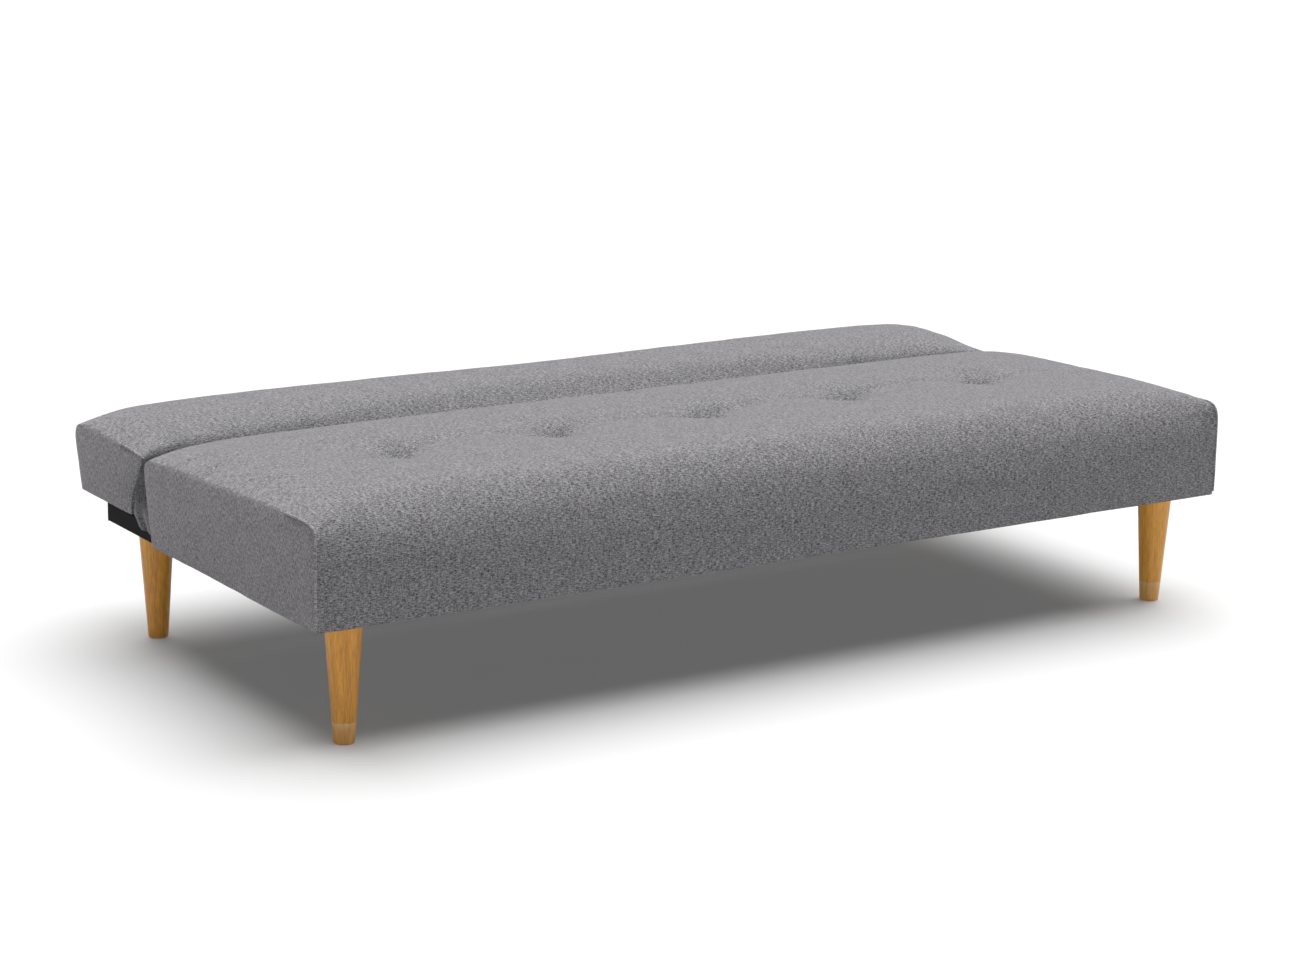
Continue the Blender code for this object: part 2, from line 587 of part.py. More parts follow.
def build_back():
    """The back's pieces, which turn together with the recline axis."""
    cover = BACK_PAD.cover("back_cover")
    foam = BACK_PAD.foam("back_foam", BACK_BOARD_TOP + GAP)
    nose_y = BACK_FRONT_Y + BACK_FRONT_LEAN
    for name, side in SIDES.items():
        low_x, high_x = mirrored_range(side, BACK_BOARD_OUTER_X,
                                       LEAF_X + PLATE_THICKNESS + PIVOT_HEAD_THICKNESS)
        low = (low_x, nose_y - 0.02, BACK_BOTTOM - 0.01)
        deep = PIVOT_Y + SECTOR_RADIUS + 4 * HINGE_ROOM
        slot = box_cutter(f"hinge_slot_{name}", low, (high_x, deep, BACK_PAD.wall_top - HINGE_ROOM / 2))
        pocket_top = PIVOT_Z + SECTOR_RADIUS + HINGE_ROOM
        pocket = box_cutter(f"hinge_pocket_{name}", low, (high_x, deep, pocket_top))
        cut(cover, slot, "MANIFOLD")
        cut(foam, pocket, "MANIFOLD")
    front = BACK_FRONT_Y + BACK_BOARD_INSET
    rear = BACK_REAR_Y - BACK_BOARD_REAR_INSET
    boards = board_frame("back", BACK_BOARD_OUTER_X, front, rear, BACK_BOARD_BOTTOM, BACK_BOARD_HEIGHT,
                         BACK_BOARD_THICKNESS)
    inner_front, inner_rear = front + BACK_BOARD_THICKNESS, rear - BACK_BOARD_THICKNESS
    half = BACK_BOARD_THICKNESS / 2
    stretcher = box_between("back_stretcher", "frame_wood", (-half, inner_front + GAP, BACK_BOARD_BOTTOM),
                            (half, inner_rear - GAP, BACK_BOARD_TOP - STRETCHER_DROP), bevel=EASING)
    springs = spring_row("back", BACK_SPRINGS, BACK_SPRING_SPACING, inner_front, inner_rear,
                         BACK_BOARD_TOP - SPRING_DROP)
    dust = box_between("back_dust_cover", "dust_fabric", (-BACK_BOARD_OUTER_X, front, BACK_BOTTOM),
                       (BACK_BOARD_OUTER_X, rear, BACK_BOTTOM + DUST_COVER_THICKNESS))
    return [cover, foam, stretcher, dust, *boards, *springs]


# Hinges -----------------------------------------------------------------------------------------

def turned_about(point, degrees):
    a = math.radians(degrees)
    return (point[0] * math.cos(a) - point[1] * math.sin(a), point[0] * math.sin(a) + point[1] * math.cos(a))


def polar(radius, degrees):
    return turned_about((radius, 0.0), degrees)


def pawl_axis():
    """The pawl pin's place from the pivot."""
    out = SECTOR_RADIUS + PAWL_CLEARANCE + PAWL_TOOTH_HEIGHT
    return turned_about((out, PAWL_REACH), PAWL_DIRECTION)


def engaged_direction():
    """Direction from the pivot to the pawl's tooth when it is engaged, in degrees."""
    pin = Vector(pawl_axis())
    tooth = Vector(polar(SECTOR_RADIUS + PAWL_CLEARANCE, PAWL_DIRECTION)) - pin
    engaged = pin + Vector(turned_about(tooth, -PAWL_THROW))
    return math.degrees(math.atan2(engaged.y, engaged.x)) % 360


def base_leaf(name, side):
    """The fixed hinge plate on the inner face of the side rail."""
    foot_bottom = RAIL_BOTTOM + LEAF_FOOT_LOW - PIVOT_Z
    foot_top = RAIL_TOP + LEAF_FOOT_HIGH - PIVOT_Z
    arch = [polar(LEAF_HALF_WIDTH, 15 * step) for step in range(13)]
    outline = arch + [(-LEAF_HALF_WIDTH, foot_top + LEAF_FILLET_RISE), (-LEAF_FOOT_REACH, foot_top),
                      (-LEAF_FOOT_REACH, foot_bottom), (LEAF_HALF_WIDTH, foot_bottom)]
    holes = [hole((0, 0), PIVOT_RADIUS), hole(pawl_axis(), PAWL_PIN_RADIUS)]
    plate(f"hinge_leaf_{name}", "hinge_steel", [outline, *holes], side * LEAF_X, PLATE_THICKNESS,
          (PIVOT_Y, PIVOT_Z))


def ratchet_sector(name, side):
    """The notched hinge plate on the back's end board."""
    mouths = [engaged_direction() - angle for angle in RECLINE_ANGLES]
    rim = []
    for degrees in range(90, 301, 10):
        if all(abs(degrees - mouth) > NOTCH_HALF_ANGLE + 2 for mouth in mouths):
            rim.append((degrees, SECTOR_RADIUS))
    for mouth in mouths:
        for share, radius in ((-1, SECTOR_RADIUS), (-0.8, SECTOR_RADIUS - NOTCH_DEPTH),
                              (0.8, SECTOR_RADIUS - NOTCH_DEPTH), (1, SECTOR_RADIUS)):
            rim.append((mouth + share * NOTCH_HALF_ANGLE, radius))
    rim.sort()
    board_middle = (BACK_BOARD_BOTTOM + BACK_BOARD_TOP) / 2 - PIVOT_Z
    low, high = board_middle - SECTOR_ARM_WIDTH / 2, board_middle + SECTOR_ARM_WIDTH / 2
    arm = [(1.5 * SECTOR_RADIUS, low), (SECTOR_ARM_LENGTH, low), (SECTOR_ARM_LENGTH, high),
           (1.8 * SECTOR_RADIUS, high), (SECTOR_RADIUS, 0)]
    outline = [polar(radius, degrees) for degrees, radius in rim] + arm
    return plate(f"ratchet_sector_{name}", "hinge_steel", [outline, hole((0, 0), PIVOT_RADIUS)],
                 side * SECTOR_X, PLATE_THICKNESS, (PIVOT_Y, PIVOT_Z))


def pawl(name, side):
    """The latch that drops into the sector's notches. Its origin is on its pin."""
    along = PAWL_DIRECTION - 90     # from the pin to the tooth
    tip, shoulder = PAWL_REACH + PAWL_TOOTH_WIDTH / 2, PAWL_REACH - PAWL_TOOTH_WIDTH / 2
    outline = [(shoulder, -PAWL_HALF_WIDTH), (shoulder, -PAWL_TOOTH_HEIGHT), (tip, -PAWL_TOOTH_HEIGHT),
               (tip, PAWL_HALF_WIDTH)]
    eye = [polar(PAWL_EYE_RADIUS, degrees) for degrees in range(45, 316, 30)]
    shape = [turned_about(point, along) for point in outline + eye]
    pin_y, pin_z = pawl_axis()
    plate(f"pawl_{name}", "hinge_steel", [shape, hole((0, 0), PAWL_PIN_RADIUS)], side * SECTOR_X,
          PLATE_THICKNESS, (PIVOT_Y + pin_y, PIVOT_Z + pin_z))


def hinge_pins(name, side):
    """The headed pivot pin and the plain pawl pin, both held by the fixed plate."""
    head_start = LEAF_X + PLATE_THICKNESS / 2 + GAP
    head_end = head_start + PIVOT_HEAD_THICKNESS
    inner_end = SECTOR_X - PLATE_THICKNESS / 2 - PIN_OVERHANG
    quarter_turn = (0, side * math.pi / 2, 0)
    turned_part(f"hinge_pin_{name}", "hinge_steel",
                [(0, head_end), (PIVOT_HEAD_RADIUS, head_end), (PIVOT_HEAD_RADIUS, head_start),
                 (PIVOT_RADIUS, head_start), (PIVOT_RADIUS, inner_end), (0, inner_end)],
                (0, PIVOT_Y, PIVOT_Z), quarter_turn)
    pin_y, pin_z = pawl_axis()
    turned_part(f"pawl_pin_{name}", "hinge_steel",
                [(0, head_start), (PAWL_PIN_RADIUS, head_start), (PAWL_PIN_RADIUS, inner_end),
                 (0, inner_end)],
                (0, PIVOT_Y + pin_y, PIVOT_Z + pin_z), quarter_turn)


def build_gusset():
    """The cloth in the gap between seat and back: one long sling and a curtain at each end."""
    low, high = RAIL_TOP + GUSSET_RISE, BACK_EDGE_TOP - 1.3 * PAD_EDGE_RADIUS

    def seat_side(height):
        return SEAT_PAD.rear_at(height) + GUSSET_CLEARANCE

    def back_side(height):
        return BACK_PAD.front_at(height) - GUSSET_CLEARANCE

    curtain = [(seat_side(low), low), (back_side(low), low), (back_side(high), high),
               (seat_side(high), high)]
    for name, side in SIDES.items():
        x = side * (HALF_LENGTH - CURTAIN_INSET - CURTAIN_THICKNESS / 2)
        plate(f"gusset_{name}", "gusset_fabric", [curtain], x, CURTAIN_THICKNESS)
    floor, top = low + GUSSET_THICKNESS, PIVOT_Z
    sling = [(seat_side(top), top), (seat_side(low), low), (back_side(low), low), (back_side(top), top),
             (back_side(top) - GUSSET_THICKNESS, top), (back_side(low) - GUSSET_THICKNESS, floor),
             (seat_side(low) + GUSSET_THICKNESS, floor), (seat_side(top) + GUSSET_THICKNESS, top)]
    plate("gusset_sling", "gusset_fabric", [sling], 0.0, 2 * (BACK_BOARD_OUTER_X - SLING_END_INSET))


def build_hinges():
    sectors = []
    for name, side in SIDES.items():
        base_leaf(name, side)
        hinge_pins(name, side)
        pawl(name, side)
        sectors.append(ratchet_sector(name, side))
    return sectors


def hang_on_axis(objects):
    """Parents the back's pieces to an empty on the recline axis, which turns them together."""
    axis = bpy.data.objects.new("recline_axis", None)
    axis.location = (0, PIVOT_Y, PIVOT_Z)
    collection(PARTS).objects.link(axis)
    for obj in objects:
        obj.parent = axis
        obj.matrix_parent_inverse = Matrix.Translation(-axis.location)


def main():
    clear_scene()
    build_base()
    build_seat()
    back = build_back()
    build_gusset()
    hang_on_axis(back + build_hinges())


main()
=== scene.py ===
"""Looks of the click-clack sofa bed: upholstery, gussets, underside cloths, legs and materials.

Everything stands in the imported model's frame: +X along the length, +Y from the seat's front edge
to the rear of the back, +Z up from the floor, in metres.
"""

import json
import math

import bmesh
import bpy
import numpy as np
from mathutils import Matrix, Vector, noise


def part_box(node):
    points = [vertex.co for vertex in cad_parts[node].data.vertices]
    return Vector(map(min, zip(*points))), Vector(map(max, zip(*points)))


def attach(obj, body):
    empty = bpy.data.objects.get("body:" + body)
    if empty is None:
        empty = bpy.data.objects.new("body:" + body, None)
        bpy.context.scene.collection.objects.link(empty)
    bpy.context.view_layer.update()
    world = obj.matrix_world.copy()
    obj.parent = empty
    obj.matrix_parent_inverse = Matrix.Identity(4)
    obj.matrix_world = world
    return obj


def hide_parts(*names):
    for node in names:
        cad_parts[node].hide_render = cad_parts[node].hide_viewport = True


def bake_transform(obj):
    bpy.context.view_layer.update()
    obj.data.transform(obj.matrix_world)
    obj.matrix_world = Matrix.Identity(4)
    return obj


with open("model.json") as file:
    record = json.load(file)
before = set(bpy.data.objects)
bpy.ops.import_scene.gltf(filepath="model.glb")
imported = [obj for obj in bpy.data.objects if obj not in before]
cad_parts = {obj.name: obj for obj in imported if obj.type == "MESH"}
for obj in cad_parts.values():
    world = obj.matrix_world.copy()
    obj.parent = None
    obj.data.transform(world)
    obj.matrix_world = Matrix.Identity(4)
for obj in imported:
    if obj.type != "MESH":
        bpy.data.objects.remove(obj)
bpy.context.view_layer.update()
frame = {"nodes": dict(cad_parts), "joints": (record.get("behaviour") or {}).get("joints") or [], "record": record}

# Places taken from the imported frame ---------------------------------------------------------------

def corners_of(node):
    return [Vector(corner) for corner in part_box(node)]


SEAT_LOW, SEAT_HIGH = corners_of("seat_cover")
BACK_LOW = corners_of("back_cover")[0]
SEAT_DUST_LOW, SEAT_DUST_HIGH = corners_of("seat_dust_cover")
BACK_DUST_LOW, BACK_DUST_HIGH = corners_of("back_dust_cover")
RAIL_HIGH = corners_of("side_rail_right")[1]
LEAF_LOW, LEAF_HIGH = corners_of("hinge_leaf_right")
PIN_HIGH = corners_of("hinge_pin_right")[1]
TIES = [corners_of(f"tuft_tie_{i}") for i in range(1, 6)]
RECLINE = next(joint for joint in frame["joints"] if joint["name"] == "recline")
PIVOT = Vector(RECLINE["pos_m"])
HALF_LENGTH = SEAT_HIGH.x
FRONT_Y = SEAT_LOW.y
SIDES = {"left": -1, "right": 1}

# Upholstery, measured from the seat's front face and from the floor
SEAT_DEPTH = 0.590
END_CROWN = 0.16              # share of the crown that is left at the end seams
END_BULGE = 0.006
BACK_FRONT = 0.6705
BACK_REAR = 0.8763
SHOULDER_LENGTH = 0.018       # how far from the end panel the top's shoulder has come up by two thirds
SHOULDER_SHARE = 0.62
PUFF_LENGTH = 0.110           # the same for the slow rise after the shoulder
TUFT_ROW = 0.308
TUFT_NEAR_REACH = 0.034       # the dimples slope gently from the front and steeply from the rear
TUFT_FAR_REACH = 0.020
TUFT_SIDE_REACH = 0.023
TUFT_CENTRES = [(low.x + high.x) / 2 for low, high in TIES]
TWINE_RADIUS = 0.0012
TIE_SINK = 0.010              # how far a tie's upper toggle is pulled into the foam
TIE_TOP = TIES[0][1].z - TIE_SINK
TIE_COVER = 0.002             # cloth and wadding over a tuft's toggle
TUFT_PULL_FIRST = (0.012, 0.003)      # depths of a tuft's core and funnel before the stuffing
TUFT_PULL_LAST = (0.029, 0.004)       # and after it
TUFT_CREASE = 0.0026
TUFT_FINE_RADIUS = 0.052      # within this distance of a tuft the mesh is finer
ON_TOP = (0.33, 0.36)         # between these heights a cover's wall becomes its top
SEAM_RADIUS = 0.0021
CLOTH_STRETCH = 0.004
STUFFING_PRESSURE = 4.0

END_STATIONS = (0.0, 0.004, 0.010, 0.017, 0.026, 0.036)    # distances from the end panel
INNER_STATIONS = 146
WALL_STEPS = 14
TOP_STEPS = 44
SIMULATION_FRAMES = 20


def mix(a, b, share):
    return a + (b - a) * share


def smooth_step(low, high, value):
    share = np.clip((value - low) / (high - low), 0, 1)
    return share * share * (3 - 2 * share)


# Materials ----------------------------------------------------------------------------------------

class Nodes:
    """A short way to write a material's node tree."""

    def __init__(self, name):
        self.material = bpy.data.materials.new(name)
        self.material.use_nodes = True
        self.tree = self.material.node_tree
        self.shader = self.tree.nodes["Principled BSDF"]

    def add(self, kind, settings=None, **inputs):
        node = self.tree.nodes.new(kind)
        for key, value in (settings or {}).items():
            setattr(node, key, value)
        for key, value in inputs.items():
            self.set(node, key.replace("_", " "), value)
        return node

    def set(self, node, socket, value):
        target = node.inputs[int(socket)] if socket.isdigit() else node.inputs[socket]
        if isinstance(value, bpy.types.NodeSocket):
            self.tree.links.new(value, target)
        else:
            target.default_value = value

    def math(self, operation, *values, clamp=False):
        node = self.tree.nodes.new("ShaderNodeMath")
        node.operation = operation
        node.use_clamp = clamp
        for index, value in enumerate(values):
            self.set(node, str(index), value)
        return node.outputs[0]

    def uv(self, name):
        return self.add("ShaderNodeUVMap", {"uv_map": name}).outputs[0]

    def place(self):
        return self.add("ShaderNodeTexCoord").outputs["Object"]

    def scaled(self, vector, scale):
        return self.add("ShaderNodeMapping", Vector=vector, Scale=scale).outputs[0]

    def noise(self, vector, scale, detail=2.0, roughness=0.5):
        node = self.add("ShaderNodeTexNoise", Vector=vector, Scale=scale, Detail=detail, Roughness=roughness)
        return node.outputs["Fac"]

    def ramp(self, value, stops):
        node = self.add("ShaderNodeValToRGB", Fac=value)
        elements = node.color_ramp.elements
        while len(elements) < len(stops):
            elements.new(0.5)
        for element, (position, colour) in zip(elements, stops):
            element.position = position
            element.color = (*colour, 1.0)
        return node.outputs[0]

    def mix_colour(self, share, a, b):
        node = self.tree.nodes.new("ShaderNodeMix")
        node.data_type = "RGBA"
        self.set(node, "0", share)
        for socket, value in ((node.inputs[6], a), (node.inputs[7], b)):
            if isinstance(value, bpy.types.NodeSocket):
                self.tree.links.new(value, socket)
            else:
                socket.default_value = (*value, 1.0)
        return node.outputs[2]

    def finish(self, colour, roughness, height=None, bump_distance=0.0005, bump_strength=1.0, **uniform):
        self.set(self.shader, "Base Color", colour)
        self.set(self.shader, "Roughness", roughness)
        for key, value in uniform.items():
            self.shader.inputs[key.replace("_", " ")].default_value = value
        if height is not None:
            bump = self.add("ShaderNodeBump", Height=height, Distance=bump_distance, Strength=bump_strength)
            self.tree.links.new(bump.outputs[0], self.shader.inputs["Normal"])
        return self.material


YARN = 0.0011                 # from one thread to the next but one


def melange_cloth(name, dark, light):
    """A plain weave of uneven light and dark yarns. Its UV map, in metres, follows the threads."""
    n = Nodes(name)
    uv = n.uv("weave")
    split = n.add("ShaderNodeSeparateXYZ", Vector=uv)
    along, across = split.outputs[0], split.outputs[1]
    turns = 2 * math.pi / YARN
    warp_wave = n.math("SINE", n.math("MULTIPLY", along, turns))
    weft_wave = n.math("SINE", n.math("MULTIPLY", across, turns))
    checker = n.math("MULTIPLY", warp_wave, weft_wave)
    over = n.math("MULTIPLY_ADD", checker, 0.5, 0.5)
    # Each yarn is light or dark for some millimetres at a time, so the tone is made of streaks.
    layers = (
        ((150.0, 720.0, 1.0), 0.95),     # weft yarns
        ((760.0, 260.0, 1.0), 0.62),     # warp yarns
        ((80.0, 460.0, 1.0), 0.26),      # thicker slubs in the weft
        ((290.0, 85.0, 1.0), 0.34),      # and in the warp
        ((30.0, 30.0, 1.0), 0.10))       # uneven dyeing
    tone = 0.5
    for scale, amount in layers:
        streaks = n.noise(n.scaled(uv, scale), 1.0, 1.5, 0.6)
        tone = n.math("ADD", tone, n.math("MULTIPLY", n.math("SUBTRACT", streaks, 0.5), amount))
    tone = n.math("MULTIPLY_ADD", n.math("SUBTRACT", over, 0.5), 0.05, tone)
    middle = tuple(mix(a, b, 0.44) for a, b in zip(dark, light))
    colour = n.ramp(tone, [(0.29, dark), (0.50, middle), (0.71, light)])
    threads = n.math("MULTIPLY", n.math("ABSOLUTE", checker), 0.5)
    height = n.math("ADD", threads, n.math("MULTIPLY", tone, 0.8))
    return n.finish(colour, 0.93, height, 0.0003, 0.5, Sheen_Weight=0.35, Sheen_Roughness=0.45,
                    Sheen_Tint=(0.98, 0.92, 1.0, 1.0), Specular_IOR_Level=0.2)


def nonwoven_cloth(name):
    n = Nodes(name)
    place = n.place()
    fibres = n.noise(n.scaled(place, (900.0, 260.0, 900.0)), 1.0, 3.0, 0.7)
    dimples = n.add("ShaderNodeTexVoronoi", Vector=place, Scale=420.0).outputs["Distance"]
    colour = n.ramp(fibres, [(0.3, (0.006, 0.006, 0.006)), (0.75, (0.035, 0.035, 0.037))])
    height = n.math("ADD", fibres, dimples)
    return n.finish(colour, 0.85, height, 0.0004, 0.5, Sheen_Weight=0.2)


WOOD_ROUGHNESS = 0.46


def oiled_wood(name, dark, middle, light, worn_below=0.0):
    """Straight-grained hardwood whose grain runs along Z."""
    n = Nodes(name)
    place = n.place()
    drift = n.noise(n.scaled(place, (3.0, 3.0, 1.2)), 1.0, 2.0, 0.5)
    bands = n.noise(n.scaled(place, (95.0, 95.0, 2.2)), 1.0, 3.5, 0.6)
    fibres = n.noise(n.scaled(place, (620.0, 620.0, 14.0)), 1.0, 2.0, 0.6)
    pores = n.noise(n.scaled(place, (900.0, 900.0, 30.0)), 1.0, 1.0, 0.5)
    tone = n.math("ADD", n.math("MULTIPLY", bands, 0.42), n.math("MULTIPLY", fibres, 0.50))
    tone = n.math("ADD", tone, n.math("MULTIPLY", n.math("SUBTRACT", drift, 0.5), 0.30))
    colour = n.ramp(tone, [(0.30, dark), (0.47, middle), (0.66, light)])
    pore_mark = n.math("LESS_THAN", pores, 0.33)
    colour = n.mix_colour(n.math("MULTIPLY", pore_mark, 0.35), colour, tuple(0.45 * c for c in dark))
    if worn_below:
        height_above = n.add("ShaderNodeSeparateXYZ", Vector=place).outputs[2]
        blotches = n.noise(n.scaled(place, (90.0, 90.0, 160.0)), 1.0, 2.0, 0.6)
        ragged = n.math("MULTIPLY_ADD", blotches, 0.012, -0.006)
        edge = n.math("SUBTRACT", worn_below, n.math("ADD", height_above, ragged))
        worn = n.math("MULTIPLY", edge, 900.0, clamp=True)
        fresh = n.math("SUBTRACT", 1.0, n.math("MULTIPLY", edge, 75.0, clamp=True))
        share = n.math("MULTIPLY_ADD", fresh, n.math("MULTIPLY_ADD", fibres, 1.1, -0.1), 0.22)
        rubbed = n.math("MULTIPLY", worn, share, clamp=True)
        colour = n.mix_colour(rubbed, colour, (0.74, 0.52, 0.28))
    gloss = n.math("MULTIPLY_ADD", bands, 0.16, WOOD_ROUGHNESS - 0.08)
    height = n.math("SUBTRACT", fibres, n.math("MULTIPLY", pore_mark, 0.6))
    return n.finish(colour, gloss, height, 0.0002, 0.35, Coat_Weight=0.12, Coat_Roughness=0.35)


def painted_metal(name, colour, roughness):
    n = Nodes(name)
    place = n.place()
    peel = n.noise(place, 900.0, 2.0, 0.5)
    dust = n.noise(place, 26.0, 4.0, 0.6)
    shade = n.ramp(dust, [(0.35, colour), (0.8, tuple(1.6 * c + 0.002 for c in colour))])
    gloss = n.math("MULTIPLY_ADD", dust, 0.22, roughness - 0.11)
    return n.finish(shade, gloss, peel, 0.00015, 0.5, Specular_IOR_Level=0.06)


def moulded_plastic(name, colour):
    n = Nodes(name)
    place = n.place()
    texture = n.noise(place, 1600.0, 2.0, 0.6)
    dusty = tuple(1.7 * c + 0.003 for c in colour)
    shade = n.ramp(n.noise(place, 60.0, 2.0, 0.5), [(0.3, colour), (0.8, dusty)])
    gloss = n.math("MULTIPLY_ADD", texture, 0.15, 0.50)
    return n.finish(shade, gloss, texture, 0.0001, 0.5, Specular_IOR_Level=0.2)


def plated_steel(name, colour, roughness=0.34, along=(40.0, 600.0, 40.0)):
    n = Nodes(name)
    place = n.place()
    brushing = n.noise(n.scaled(place, along), 1.0, 3.0, 0.6)
    stains = n.noise(place, 45.0, 4.0, 0.65)
    shade = n.ramp(stains, [(0.3, tuple(0.72 * c for c in colour)), (0.7, colour)])
    gloss = n.math("MULTIPLY_ADD", brushing, 0.3, roughness - 0.15)
    return n.finish(shade, gloss, brushing, 0.00008, 0.5, Metallic=1.0)


def sawn_softwood(name):
    """Frame timber whose grain runs along X."""
    n = Nodes(name)
    place = n.place()
    rings = n.noise(n.scaled(place, (1.5, 60.0, 60.0)), 1.0, 3.0, 0.6)
    fibres = n.noise(n.scaled(place, (9.0, 700.0, 700.0)), 1.0, 2.0, 0.6)
    tone = n.math("ADD", n.math("MULTIPLY", rings, 0.7), n.math("MULTIPLY", fibres, 0.3))
    colour = n.ramp(tone, [(0.35, (0.36, 0.20, 0.09)), (0.65, (0.72, 0.52, 0.31))])
    return n.finish(colour, 0.72, fibres, 0.0003, 0.6)


def cut_foam(name):
    n = Nodes(name)
    place = n.place()
    cells = n.add("ShaderNodeTexVoronoi", Vector=place, Scale=700.0).outputs["Distance"]
    shade = n.ramp(n.noise(place, 14.0, 3.0, 0.6), [(0.3, (0.74, 0.66, 0.42)), (0.7, (0.86, 0.81, 0.62))])
    return n.finish(shade, 0.9, cells, 0.0006, 0.6)


def twisted_cord(name):
    n = Nodes(name)
    wave = {"wave_type": "BANDS", "bands_direction": "DIAGONAL"}
    strands = n.add("ShaderNodeTexWave", wave, Vector=n.place(), Scale=260.0, Distortion=1.0).outputs["Fac"]
    shade = n.ramp(strands, [(0.2, (0.42, 0.38, 0.30)), (0.8, (0.75, 0.71, 0.62))])
    return n.finish(shade, 0.8, strands, 0.0003, 0.7)


def studio_floor(name):
    """Pale floor. Its slight glow stands for light bounced about a white room."""
    n = Nodes(name)
    clouds = n.noise(n.place(), 0.6, 2.0, 0.5)
    tone = n.ramp(clouds, [(0.3, (0.535, 0.535, 0.535)), (0.7, (0.555, 0.555, 0.555))])
    return n.finish(tone, 0.75, Emission_Color=(1.0, 1.0, 1.0, 1.0), Emission_Strength=FLOOR_GLOW)


CLOTH = melange_cloth("grey_melange", (0.037, 0.037, 0.038), (0.322, 0.317, 0.329))
# The seam beads' cloth is lighter than the cover: painted highlight for the light line along the seam ridges.
SEAM_HIGHLIGHT_CLOTH = melange_cloth("seam_melange_painted_highlight", (0.09, 0.088, 0.084), (0.42, 0.41, 0.40))
# The gusset cloth is darker than the cover: painted shade for the gap between seat and back where it hangs.
GUSSET_SHADED_CLOTH = melange_cloth("gusset_melange_painted_shade", (0.022, 0.022, 0.023), (0.18, 0.18, 0.185))
LEG_TONES = ((0.49, 0.20, 0.016), (0.72, 0.315, 0.031), (0.86, 0.445, 0.060))
LEG_WEAR_HEIGHT = 0.036       # the front legs' finish is rubbed pale up to here
LEG_WOOD = oiled_wood("oiled_hardwood", *LEG_TONES)
WORN_LEG_WOOD = oiled_wood("rubbed_hardwood", *LEG_TONES, worn_below=LEG_WEAR_HEIGHT)
MATERIALS = {
    "leg_wood": LEG_WOOD,
    "frame_wood": sawn_softwood("sawn_softwood"),
    "dust_fabric": nonwoven_cloth("black_nonwoven"),
    "black_rail": painted_metal("matt_black_paint", (0.004, 0.004, 0.004), 0.66),
    "black_plastic": moulded_plastic("black_moulding", (0.011, 0.011, 0.011)),
    "hinge_steel": plated_steel("zinc_plated_steel", (0.50, 0.50, 0.49)),
    "spring_steel": plated_steel("drawn_wire", (0.34, 0.34, 0.35), 0.3),
    "foam": cut_foam("cut_foam"),
    "tuft_cord": twisted_cord("waxed_twine"),
    "cover_fabric": CLOTH,
    "gusset_fabric": GUSSET_SHADED_CLOTH,
}


def dress_frame():
    """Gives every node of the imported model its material."""
    slots = {part["node"]: part["material_slot"] for part in frame["record"]["subparts"]}
    for node, slot in slots.items():
        obj = frame["nodes"][node]
        obj.data.materials.clear()
        obj.data.materials.append(MATERIALS[slot])


# Meshes -------------------------------------------------------------------------------------------

def new_object(name, mesh, material=None):
    obj = bpy.data.objects.new(name, mesh)
    bpy.context.scene.collection.objects.link(obj)
    if material is not None:
        mesh.materials.append(material)
    return obj


def smooth(mesh, degrees=50):
    mesh.shade_smooth()
    mesh.set_sharp_from_angle(angle=math.radians(degrees))


def corner_points(before, corner, after, radius, count=9):
    """A rounded corner: a cubic curve between the points that lie radius away on each side."""
    start = corner + (before - corner).normalized() * radius
    end = corner + (after - corner).normalized() * radius
    kappa = 0.5523
    first, second = start.lerp(corner, kappa), end.lerp(corner, kappa)
    points = []
    for i in range(count):
        t = i / (count - 1)
        points.append(start * (1 - t) ** 3 + first * 3 * t * (1 - t) ** 2
                      + second * 3 * t * t * (1 - t) + end * t ** 3)
    return points


def resample(points, steps):
    points = np.array(points)
    lengths = np.concatenate([[0], np.cumsum(np.linalg.norm(np.diff(points, axis=0), axis=1))])
    places = np.linspace(0, lengths[-1], steps + 1)
    return np.stack([np.interp(places, lengths, points[:, axis]) for axis in range(2)], axis=1)


def section(corners, split):
    """Resamples a rounded outline, given as (y, z, radius) corners, into wall, top and wall.

    The two split corners are where the walls meet the top.
    """
    at = [Vector(corner[:2]) for corner in corners]
    dense, marks = [at[0]], []
    for i in range(1, len(at) - 1):
        rounded = corner_points(at[i - 1], at[i], at[i + 1], corners[i][2])
        if i in split:
            marks.append(len(dense) + len(rounded) // 2)
        dense += rounded
    dense.append(at[-1])
    dense = [tuple(point) for point in dense]
    front = resample(dense[:marks[0] + 1], WALL_STEPS)
    top = resample(dense[marks[0]:marks[1] + 1], TOP_STEPS)
    rear = resample(dense[marks[1]:], WALL_STEPS)
    return np.concatenate([front, top[1:], rear[1:]])


def station_places():
    """Distances along X, closer together at the end seams."""
    inner_end = HALF_LENGTH - 0.047
    left = [-HALF_LENGTH + inboard for inboard in END_STATIONS]
    inner = np.linspace(-inner_end, inner_end, INNER_STATIONS)
    return np.array([*left, *inner, *(-x for x in reversed(left))])


def coons(left, right, bottom, top):
    """Fills the inside of four edges. left and right run upwards, bottom and top run across."""
    rows, columns = len(left), len(bottom)
    v = np.linspace(0, 1, rows)[:, None, None]
    u = np.linspace(0, 1, columns)[None, :, None]
    across = (1 - u) * left[:, None] + u * right[:, None]
    up = (1 - v) * bottom[None] + v * top[None]
    corners = ((1 - u) * (1 - v) * left[0] + u * (1 - v) * right[0]
               + (1 - u) * v * left[-1] + u * v * right[-1])
    return across + up - corners


